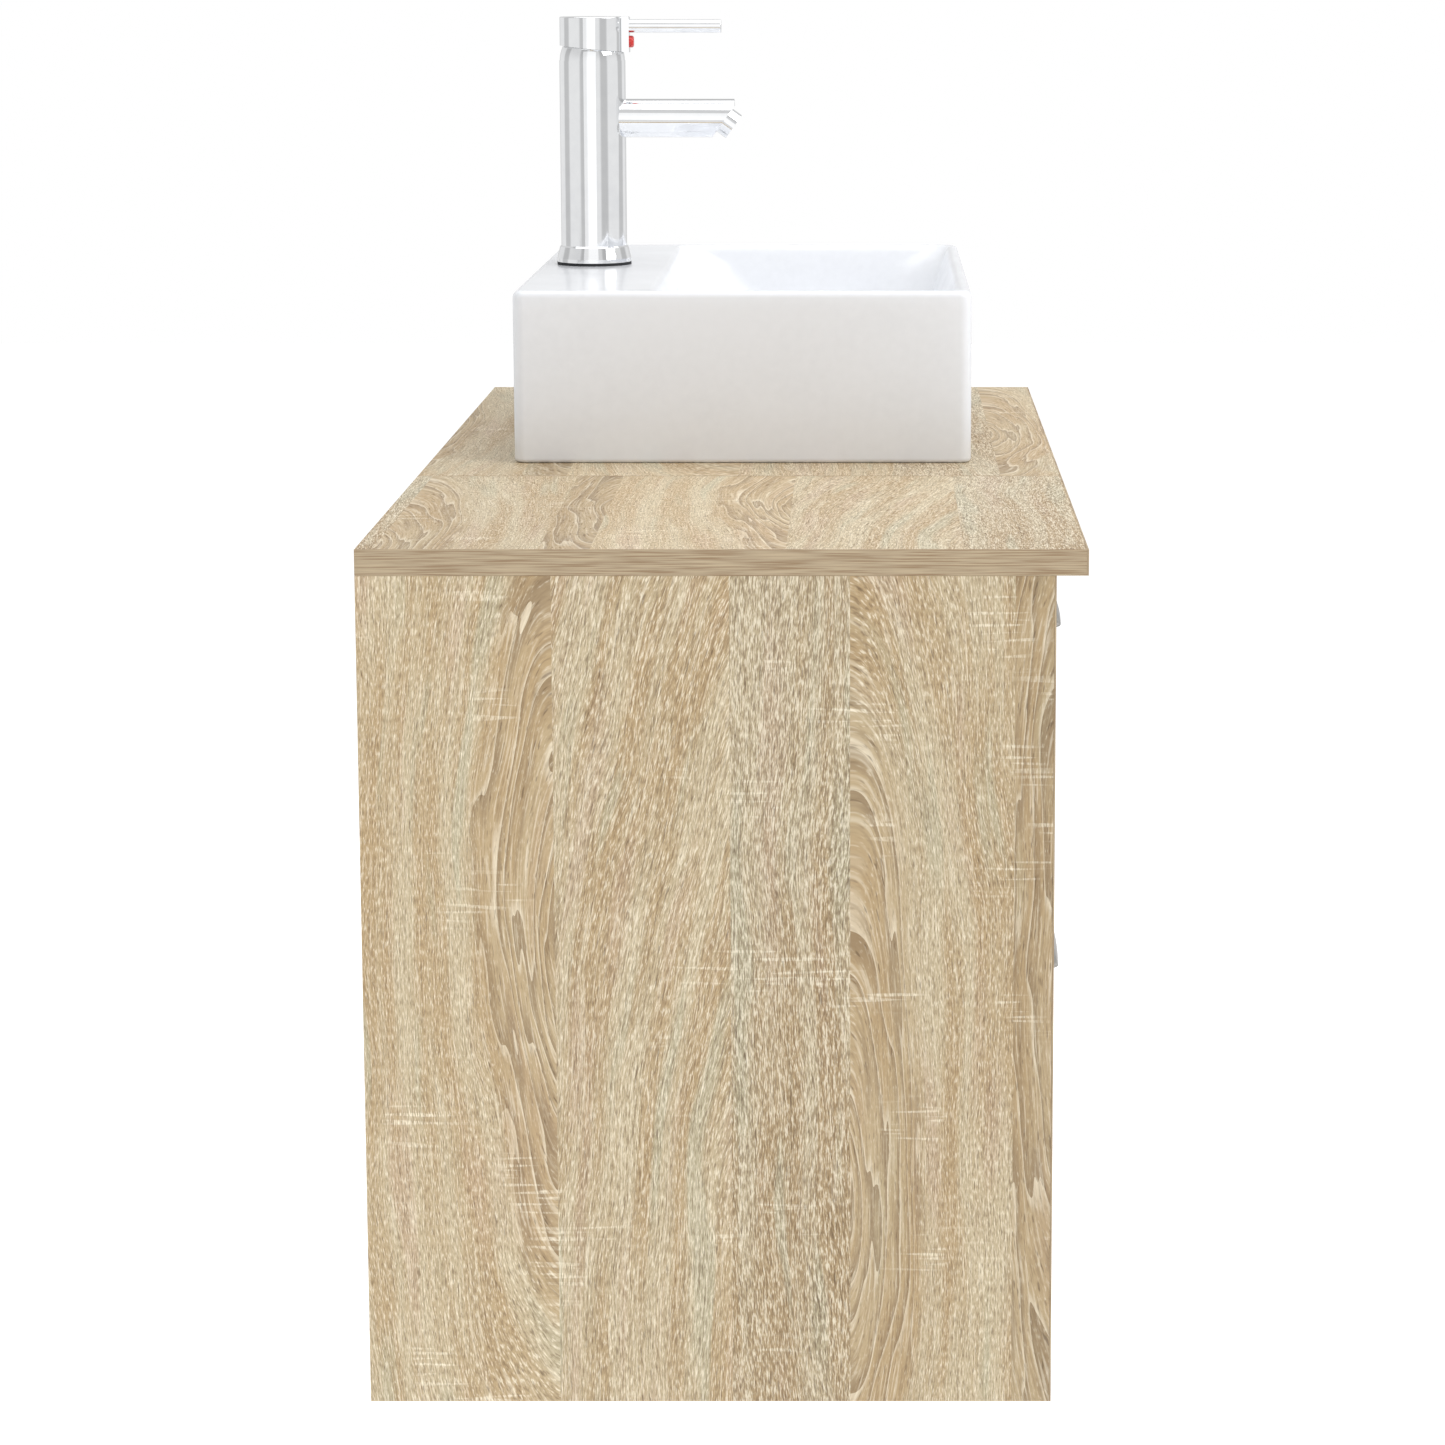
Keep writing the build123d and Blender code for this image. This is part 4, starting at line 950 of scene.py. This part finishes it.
@dataclass(frozen=True)
class GlazedBasin:
    """The slip-cast basin, the trim in its overflow and the waste's plug.

    Attributes:
        bowl_stages: how far in the bowl's wall is, its corner radius, and the depth at which that holds.
        wall_drops: the depths at which the bowl's wall has an outline.
        cove: how far in the turn from the wall to the floor goes, as an arc and as a slope.
        under_stages: the depth of each outline of the hollow under the bowl, and how much larger it is.
    """

    corner: float = 8.0
    top_ease: float = 4.5
    foot_ease: float = 3.0
    wall: float = 9.0
    deck: float = 12.0
    bowl_half: tuple[float, float] = (194.5, 100.5)
    bowl_set: float = 8.0
    bowl_stages: tuple[tuple[float, float, float], ...] = (
        (0.0, 12.0, 0.0), (6.0, 34.0, 14.0), (15.0, 52.0, 40.0), (42.0, 52.0, 96.0),
    )
    wall_drops: tuple[float, ...] = (8.0, 12.0, 17.0, 23.0, 30.0, 38.0, 46.0, 54.0, 62.0, 69.0, 75.0)
    cove: tuple[float, float] = (21.0, 8.0)
    floor_fall: float = 2.0
    rim_ease: float = 5.0
    rim_flare: float = 3.0
    drain_r: float = 22.5
    recess_r: float = 32.0
    recess_ease: tuple[float, float] = (1.0, 0.6)
    recess_deep: float = 2.0
    under_stages: tuple[tuple[float, float], ...] = ((90.0, 0.0), (70.0, 9.0), (40.0, 9.0), (15.0, 9.0))
    inner_corner: float = 6.0
    tap_hole_r: float = 17.5
    duct_r: float = 7.0
    trim_proud: float = 3.0
    corner_steps: int = 14
    side_steps: int = 16

    def stage(self, drop: float) -> tuple[float, float]:
        """How far in the bowl's wall is at a depth below the deck, and its corner radius there.

        Args:
            drop: the depth.

        Returns:
            The inset and the corner radius.
        """
        stages = self.bowl_stages
        for (inset_a, corner_a, drop_a), (inset_b, corner_b, drop_b) in zip(stages, stages[1:]):
            if drop <= drop_b:
                t = (drop - drop_a) / (drop_b - drop_a)
                return inset_a + (inset_b - inset_a) * t, corner_a + (corner_b - corner_a) * t
        return stages[-1][0], stages[-1][1]

    def outline(self, ring: Ring) -> list[Vector]:
        """The points of a ring, always as many, starting in one corner.

        Args:
            ring: the outline.

        Returns:
            Its points, in millimetres.
        """
        points = []
        (x, y), (a, b), r = ring.middle, ring.half, min(ring.corner, *ring.half)
        corners = ((a - r, b - r, 0), (-a + r, b - r, 90), (-a + r, -b + r, 180), (a - r, -b + r, 270))
        for number, (cx, cy, start) in enumerate(corners):
            for i in range(self.corner_steps):
                turn = math.radians(start + 90 * i / (self.corner_steps - 1))
                points.append(Vector((x + cx + r * math.cos(turn), y + cy + r * math.sin(turn), ring.level)))
            nx, ny, first = corners[(number + 1) % 4]
            turn = math.radians(first)
            here = points[-1]
            there = Vector((x + nx + r * math.cos(turn), y + ny + r * math.sin(turn), ring.level))
            for i in range(1, self.side_steps):
                points.append(here.lerp(there, i / self.side_steps))
        return points

    def bowl_ring(self, drop: float, grow: float = 0.0) -> Ring:
        """The bowl's outline at a depth, made larger by grow.

        Args:
            drop: the depth below the deck.
            grow: how much larger it is all round.

        Returns:
            The outline.
        """
        low, high = node_box("basin")
        in_by, corner = self.stage(drop)
        half = tuple(h - in_by + grow for h in self.bowl_half)
        middle = ((low.x + high.x) / 2, low.y + self.bowl_set + self.bowl_half[1])
        return Ring(middle, half, max(corner + grow, 1.0), high.z - drop)

    def rings(self) -> list[Ring]:
        """The outlines from the foot up the outside, over the deck and down the bowl to its floor.

        Returns:
            The outlines in order.
        """
        low, high = node_box("basin")
        middle = ((low.x + high.x) / 2, (low.y + high.y) / 2)
        half = ((high.x - low.x) / 2, (high.y - low.y) / 2)
        made = []

        def outer(inset: float, level: float) -> None:
            """Adds an outline of the outside."""
            made.append(Ring(middle, (half[0] - inset, half[1] - inset), self.corner - inset * 0.6, level))

        steps = 5
        for i in range(steps + 1):
            turn = math.radians(90 * i / steps)
            outer(self.foot_ease * (1 - math.sin(turn)), low.z + self.foot_ease * (1 - math.cos(turn)))
        for share in (0.3, 0.6, 0.9):
            outer(0, low.z + (high.z - low.z) * share)
        for i in range(steps + 1):
            turn = math.radians(90 * i / steps)
            outer(self.top_ease * (1 - math.cos(turn)), high.z - self.top_ease * (1 - math.sin(turn)))
        bowl_top = self.bowl_ring(0.0, self.rim_flare)
        deck_edge = made[-1]
        for share in (0.35, 0.7):
            half_between = tuple(a + (b - a) * share for a, b in zip(deck_edge.half, bowl_top.half))
            shifted = tuple(a + (b - a) * share for a, b in zip(deck_edge.middle, bowl_top.middle))
            corner = deck_edge.corner + (bowl_top.corner - deck_edge.corner) * share
            made.append(Ring(shifted, half_between, corner, high.z))
        for i in range(steps + 2):
            turn = math.radians(90 * i / (steps + 1))
            drop = self.rim_ease * (1 - math.cos(turn))
            made.append(self.bowl_ring(drop, self.rim_flare * (1 - math.sin(turn))))
        made += [self.bowl_ring(drop) for drop in self.wall_drops]
        floor = high.z - self.bowl_stages[-1][2]
        last = made[-1]
        for i in range(1, steps + 2):
            turn = math.radians(90 * i / (steps + 1))
            inset = self.cove[0] * (1 - math.cos(turn)) + self.cove[1] * i / (steps + 1)
            level = last.level - (last.level - floor - self.floor_fall) * math.sin(turn)
            made.append(Ring(last.middle, tuple(h - inset for h in last.half), last.corner, level))
        return made

    def round_rings(self, start: Ring) -> list[list[Vector]]:
        """From the bowl's floor to the drain, down through it, and out over the hollow underside.

        Args:
            start: the outline at the edge of the floor.

        Returns:
            The points of each outline in order.
        """
        low, high = node_box("basin")
        floor = high.z - self.bowl_stages[-1][2]
        middle = Vector((*start.middle, 0))
        square = self.outline(start)

        def circle(radius: float, level: float) -> list[Vector]:
            """Points on a circle, each in the direction of the same point of the square outline.

            Args:
                radius: the circle's radius.
                level: its height.

            Returns:
                The points.
            """
            made = []
            for point in square:
                way = (Vector((point.x, point.y, 0)) - middle).normalized()
                made.append(middle + way * radius + Vector((0, 0, level)))
            return made

        recess = circle(self.recess_r + self.recess_ease[0], floor + self.recess_ease[1])
        made = [[a.lerp(b, t) for a, b in zip(square, recess)] for t in (0.3, 0.6, 0.85)]
        made += [recess, circle(self.recess_r, floor), circle(self.recess_r, floor - self.recess_deep)]
        made += [circle(self.drain_r, floor - self.recess_deep), circle(self.drain_r, low.z)]
        made += [circle(self.drain_r + self.wall, low.z), circle(self.drain_r + self.wall, floor - self.wall)]
        made += [self.outline(self.bowl_ring(drop, grow)) for drop, grow in self.under_stages]
        inner = (high.x - low.x) / 2 - self.wall, (high.y - low.y) / 2 - self.wall
        centre = (low.x + high.x) / 2, (low.y + high.y) / 2
        for level in (high.z - self.deck, low.z):
            made.append(self.outline(Ring(centre, inner, self.inner_corner, level)))
        return made

    def build_shell(self) -> None:
        """The basin itself, with its tap hole and its overflow."""
        rings = self.rings()
        lines = [self.outline(ring) for ring in rings] + self.round_rings(rings[-1])
        shape = bmesh.new()
        made = [[shape.verts.new(point) for point in line] for line in lines]
        join_rings(shape, made + [made[0]])
        shell = as_object("glazed_basin", shape)
        tap, ring = node_middle("tap_gasket"), node_middle("overflow_ring")
        ring_low, ring_high = node_box("overflow_ring")
        back, up = Vector((0, 1, 0)), Vector((0, 0, 1))
        at = Vector((ring.x, ring_low.y + self.trim_proud, ring.z))
        pocket_r = (ring_high.x - ring_low.x) / 2 + 0.2
        tools = [
            lathe([(0, -20), (pocket_r, -20), (pocket_r, 0), (0, 0)], at, back, 64),
            lathe([(0, -5), (self.duct_r, -5), (self.duct_r, 25), (0, 25)], at, back, 48),
            lathe([(0, -20), (self.tap_hole_r, -20), (self.tap_hole_r, 20), (0, 20)], tap, up, 64),
        ]
        carve(shell, tools)
        finish_piece(shell, CHINA, ["basin"], 40.0)

    def build_fittings(self) -> None:
        """The chrome trim in the overflow and the domed plug."""
        low, high = node_box("overflow_ring")
        at = Vector(((low.x + high.x) / 2, low.y, (low.z + high.z) / 2))
        r, depth = (high.x - low.x) / 2, high.y - low.y
        outline = [
            (5.8, depth), (5.8, 2.0), (6.6, 0.6), (8.2, 0.0), (11.0, 0.3), (12.6, 1.4),
            (r, self.trim_proud), (7.0, self.trim_proud), (7.0, depth),
        ]
        ring = as_object("overflow_trim", lathe(eased(outline, 0.5, 3), at, Vector((0, 1, 0)), 72))
        finish_piece(ring, CHROME, ["overflow_ring"])

        low, high = node_box("waste_plug")
        middle = (low + high) / 2
        up = Vector((0, 0, 1))
        top = high.z
        outline = [
            (0, low.z), (4.0, low.z), (4.0, top - 9.0), (14.0, top - 4.6), (29.2, top - 4.6),
            (30.5, top - 3.4), (30.2, top - 2.6), (27.0, top - 1.5), (20.0, top - 0.7), (10.0, top - 0.15),
            (0, top),
        ]
        plug = as_object("push_plug", lathe(eased(outline, 1.0, 4), Vector((middle.x, middle.y, 0)), up))
        finish_piece(plug, CHROME, ["waste_plug"], 50.0)

    def build(self) -> None:
        """Everything of the basin."""
        self.build_shell()
        self.build_fittings()


# ---------------------------------------------------------------- handles and covers


@dataclass(frozen=True)
class GripHandle:
    """A drawer handle: a flat grip that leans out at its lower edge, gently bowed, on two turned posts."""

    thick: float = 5.5
    tall: float = 15.0
    corner: float = 1.8
    lean_deg: float = 17.0
    bow: float = 2.2
    post_r: float = 4.5
    pitch: float = 128.0
    steps: int = 28
    tip_share: float = 0.015
    tip_least: float = 0.25

    def section(self) -> list[tuple[float, float]]:
        """The grip's section, out and up, leaning.

        Returns:
            Its points, counted from its middle.
        """
        points = []
        lean = math.radians(self.lean_deg)
        a, b, r = self.thick / 2 - self.corner, self.tall / 2 - self.corner, self.corner
        cosine, sine = math.cos(lean), math.sin(lean)
        for cx, cy, start in ((a, b, 0), (-a, b, 90), (-a, -b, 180), (a, -b, 270)):
            for i in range(5):
                turn = math.radians(start + 90 * i / 4)
                out, up = cx + r * math.cos(turn), cy + r * math.sin(turn)
                points.append((out * cosine - up * sine, out * sine + up * cosine))
        return points

    def build(self, drawer: str) -> None:
        """The handle of one drawer.

        Args:
            drawer: the body that it rides on.
        """
        node = f"{drawer}_handle"
        low, high = node_box(node)
        reach = max(out for out, _ in self.section())
        centre = Vector(((low.x + high.x) / 2, low.y + reach, (low.z + high.z) / 2))
        half = (high.x - low.x) / 2
        shape = bmesh.new()
        rings = []
        for i in range(self.steps + 1):
            share = -1 + 2 * i / self.steps
            past = max(abs(share) - (1 - self.tip_share), 0)
            taper = math.sqrt(max(1 - past**2 / self.tip_share**2, self.tip_least))
            x, y = centre.x + half * share, centre.y + self.bow * share * share
            rings.append([
                shape.verts.new((x, y - out * taper, centre.z + up * taper)) for out, up in self.section()
            ])
        join_rings(shape, rings)
        shape.faces.new(rings[0])
        shape.faces.new(list(reversed(rings[-1])))
        bmesh.ops.recalc_face_normals(shape, faces=shape.faces)
        depth = high.y - centre.y
        post = eased([
            (0, 0), (self.post_r + 0.6, 0), (self.post_r + 0.6, 1.2), (self.post_r, 2.4),
            (self.post_r, depth - 2.0), (self.post_r + 1.0, depth), (0, depth),
        ], 0.6, 3)
        posts = []
        for side in (-1, 1):
            foot = Vector((centre.x + side * self.pitch / 2, high.y, centre.z))
            posts.append(lathe(post, foot, Vector((0, -1, 0)), 32))
        made = as_object(f"{drawer}_grip", joined([shape, *posts]))
        finish_piece(made, SATIN_NICKEL, [node], 40.0)


@dataclass(frozen=True)
class CamCovers:
    """Moulded caps over the cams that hold the boards together."""

    radius: float = 8.6
    proud: float = 0.9
    cam_least: float = 14.0

    def build(self) -> None:
        """One cap on every cam, found as the wide solids among the fittings."""
        source = bmesh.new()
        source.from_mesh(frame["nodes"]["cam_fittings"].data)
        bmesh.ops.remove_doubles(source, verts=source.verts, dist=0.01 * MM)
        caps, seen = [], set()
        for vert in source.verts:
            if vert in seen:
                continue
            group, waiting = [], [vert]
            seen.add(vert)
            while waiting:
                here = waiting.pop()
                group.append(here.co / MM)
                for edge in here.link_edges:
                    other = edge.other_vert(here)
                    if other not in seen:
                        seen.add(other)
                        waiting.append(other)
            low = Vector([min(p[i] for p in group) for i in range(3)])
            high = Vector([max(p[i] for p in group) for i in range(3)])
            size = high - low
            if size.x < self.cam_least:
                continue
            middle = (low + high) / 2
            facing_down = size.z < size.y
            way = Vector((0, 0, -1)) if facing_down else Vector((0, -1, 0))
            at = Vector((middle.x, middle.y, low.z)) if facing_down else Vector((middle.x, low.y, middle.z))
            outline = [(0, -1.0), (self.radius, -1.0), (self.radius, 0.3), (self.radius - 0.8, self.proud),
                       (3.2, self.proud), (2.6, self.proud - 0.4), (0, self.proud - 0.4)]
            caps.append(lathe(outline, at, way, 40))
        source.free()
        made = as_object("cam_covers", joined(caps))
        finish_piece(made, COVER, ["cam_fittings"], 40.0)


# ---------------------------------------------------------------- CAD pieces that keep their shape


@dataclass(frozen=True)
class CadPieces:
    """The CAD nodes of one finish, which show in their own shape.

    Attributes:
        finish: what their surface is.
        nodes: their names.
        edge_radius: how far their edges are eased, or 0 for edges as the CAD has them.
    """

    finish: Finish
    nodes: tuple[str, ...]
    edge_radius: float = 0.0

    def dress(self) -> None:
        """Gives each node its finish and eases its edges."""
        for name in self.nodes:
            node = frame["nodes"][name]
            node.data.materials.clear()
            node.data.materials.append(self.finish.material())
            if self.edge_radius:
                ease = node.modifiers.new("eased edges", "BEVEL")
                ease.width, ease.segments, ease.limit_method = self.edge_radius * MM, 2, "ANGLE"
            LOG.info("%s keeps its shape, in %s", name, self.finish.name)


CAD_PIECES = (
    CadPieces(CHROME, ("tap_body", "tap_dome", "tap_head", "tap_lever", "tap_aerator", "waste_body")),
    CadPieces(RED_ENAMEL, ("tap_indicator",)),
    CadPieces(RUBBER, ("tap_gasket", "waste_gasket")),
    CadPieces(ACETAL, ("tap_cartridge", "tap_carrier")),
    CadPieces(BRASS, ("tap_cartridge_nut", "tap_spindle")),
    CadPieces(TRAP_PLASTIC, (
        "waste_nut", "trap_head", "trap_cup", "trap_nuts", "trap_tailpiece", "trap_outlet_pipe",
    )),
    CadPieces(ZINC, (
        "tap_fixing", "wall_plates", "counter_screws", "unit_connectors", "side_shelf_pins",
        "upper_drawer_handle_screws", "lower_drawer_handle_screws",
    )),
    CadPieces(POWDER_COAT, ("cabinet_runners", "upper_drawer_runners", "lower_drawer_runners")),
    CadPieces(NYLON, (
        "upper_drawer_front_rollers", "upper_drawer_rear_rollers",
        "lower_drawer_front_rollers", "lower_drawer_rear_rollers",
    )),
    CadPieces(DRAWER_BOARD, ("upper_drawer_boards", "lower_drawer_boards", "sink_wall_rails"), 0.4),
    CadPieces(HARDBOARD, ("upper_drawer_bottom", "lower_drawer_bottom", "side_back_sheet")),
)


# ---------------------------------------------------------------- room


@dataclass(frozen=True)
class Lamp:
    """A square area light: where it is, how wide it is in metres and its power in watts."""

    name: str
    at: tuple[float, float, float]
    size_m: float
    power: float


@dataclass(frozen=True)
class Studio:
    """Pale floor, soft lights and the camera."""

    counter_height: float = 850.0
    camera_at: tuple[float, float, float] = (-2461.0, -287.3, 392.3)
    pitch_deg: float = 8.3526
    lens: float = 92.82
    shift: tuple[float, float] = (-0.0997, -0.15)
    sensor: float = 36.0
    floor_half: float = 9000.0
    floor_cells: int = 24
    floor_glow: float = 0.48
    lit_point: tuple[float, float, float] = (0.0, -200.0, -60.0)
    lamps: tuple[Lamp, ...] = (
        Lamp("key", (-1200.0, -2700.0, 2300.0), 2.2, 42.0),
        Lamp("fill", (-3400.0, 300.0, 900.0), 3.0, 10.0),
        Lamp("top", (300.0, -600.0, 2600.0), 3.4, 50.0),
    )
    matt_level: float = 0.60
    far_level: float = 0.70

    def build_floor(self) -> None:
        """A wide, flat floor below the counter, as far down as such a vanity hangs."""
        level = node_box("side_counter")[1].z - self.counter_height
        shape = bmesh.new()
        size, steps = self.floor_half, self.floor_cells
        rows = []
        for i in range(steps + 1):
            y = -size + 2 * size * i / steps
            rows.append([shape.verts.new((-size + 2 * size * j / steps, y, level)) for j in range(steps + 1)])
        for first, second in zip(rows, rows[1:]):
            for j in range(steps):
                shape.faces.new((first[j], first[j + 1], second[j + 1], second[j]))
        floor = as_object("floor", shape)
        material = bpy.data.materials.new("pale_floor")
        material.use_nodes = True
        shader = material.node_tree.nodes["Principled BSDF"]
        shader.inputs["Base Color"].default_value = linear("F8F8F8")
        shader.inputs["Roughness"].default_value = 0.9
        shader.inputs["Specular IOR Level"].default_value = 0.0
        shader.inputs["Emission Color"].default_value = (1, 1, 1, 1)
        glossy = add_node(material.node_tree, "ShaderNodeLightPath").node.outputs["Is Glossy Ray"]
        glow = {0: glossy, 2: self.floor_glow, 3: 0.0}
        glow = add_node(material.node_tree, "ShaderNodeMix", glow, data_type="FLOAT")
        material.node_tree.links.new(glow, shader.inputs["Emission Strength"])
        floor.data.materials.append(material)

    def build_lights(self) -> None:
        """A large key from the front left, a fill by the camera, a top light and a bright, banded room."""
        target = Vector(self.lit_point)
        for light in self.lamps:
            lamp = bpy.data.lights.new(light.name, "AREA")
            lamp.shape, lamp.size, lamp.energy = "SQUARE", light.size_m, light.power
            made = bpy.data.objects.new(light.name, lamp)
            made.location = Vector(light.at) * MM
            made.rotation_euler = (target - Vector(light.at)).to_track_quat("-Z", "Y").to_euler()
            bpy.context.scene.collection.objects.link(made)
        self.build_world()

    def build_world(self) -> None:
        """White to the eye and dimmer to matt surfaces. Gloss sees soft grey bands, as between screens."""
        world = bpy.data.worlds.new("studio")
        bpy.context.scene.world = world
        world.use_nodes = True
        tree = world.node_tree
        tree.nodes.clear()
        way = add_node(tree, "ShaderNodeTexCoord")
        east = add_node(tree, "ShaderNodeSeparateXYZ", {0: way})
        north, height = east.node.outputs["Y"], east.node.outputs["Z"]
        turn = add_node(tree, "ShaderNodeMath", {0: north, 1: east}, operation="ARCTAN2")
        wave = add_node(tree, "ShaderNodeMath", {0: turn, 1: 5.0, 2: 0.9}, operation="MULTIPLY_ADD")
        wave = add_node(tree, "ShaderNodeMath", {0: wave}, operation="SINE")
        bands = {"Value": wave, "From Min": 0.1, "From Max": 0.75, "To Min": 1.0, "To Max": 0.68}
        bands = add_node(tree, "ShaderNodeMapRange", bands, interpolation_type="SMOOTHSTEP")
        level = {"Value": height, "From Min": -0.1, "From Max": 0.55, "To Min": 0.88, "To Max": 0.72}
        level = add_node(tree, "ShaderNodeMapRange", level, interpolation_type="SMOOTHSTEP")
        bands = add_node(tree, "ShaderNodeMath", {0: bands, 1: level}, operation="MULTIPLY")
        far = add_node(tree, "ShaderNodeMapRange", {"Value": east, "From Min": 0.80, "From Max": 0.95})
        bands = add_node(tree, "ShaderNodeMix", {0: far, 2: bands, 3: self.far_level}, data_type="FLOAT")
        ray = add_node(tree, "ShaderNodeLightPath").node
        glossy = {0: ray.outputs["Is Glossy Ray"], 2: self.matt_level, 3: bands}
        strength = add_node(tree, "ShaderNodeMix", glossy, data_type="FLOAT")
        seen = {0: ray.outputs["Is Camera Ray"], 2: strength, 3: 1.0}
        strength = add_node(tree, "ShaderNodeMix", seen, data_type="FLOAT")
        back = add_node(tree, "ShaderNodeBackground", {"Color": (1, 1, 1, 1), "Strength": strength})
        add_node(tree, "ShaderNodeOutputWorld", {"Surface": back})

    def build_camera(self) -> None:
        """A long lens at the unit's end, a little above the basin."""
        data = bpy.data.cameras.new("camera")
        data.lens, data.sensor_width = self.lens, self.sensor
        data.shift_x, data.shift_y = self.shift
        camera = bpy.data.objects.new("camera", data)
        camera.location = Vector(self.camera_at) * MM
        camera.rotation_euler = (math.radians(90 - self.pitch_deg), 0, math.radians(-90))
        bpy.context.scene.collection.objects.link(camera)
        bpy.context.scene.camera = camera
        bpy.context.scene.view_settings.view_transform = "Standard"

    def build(self) -> None:
        """The whole room."""
        self.build_floor()
        self.build_lights()
        self.build_camera()


def main() -> None:
    """Builds every piece in order."""
    logging.basicConfig(level=logging.INFO, format="%(name)s: %(message)s")
    Studio().build()
    Carcass().build()
    GlazedBasin().build()
    handle = GripHandle()
    for drawer in ("upper_drawer", "lower_drawer"):
        handle.build(drawer)
    CamCovers().build()
    for pieces in CAD_PIECES:
        pieces.dress()
    bpy.context.view_layer.update()


if __name__ == "__main__":
    main()
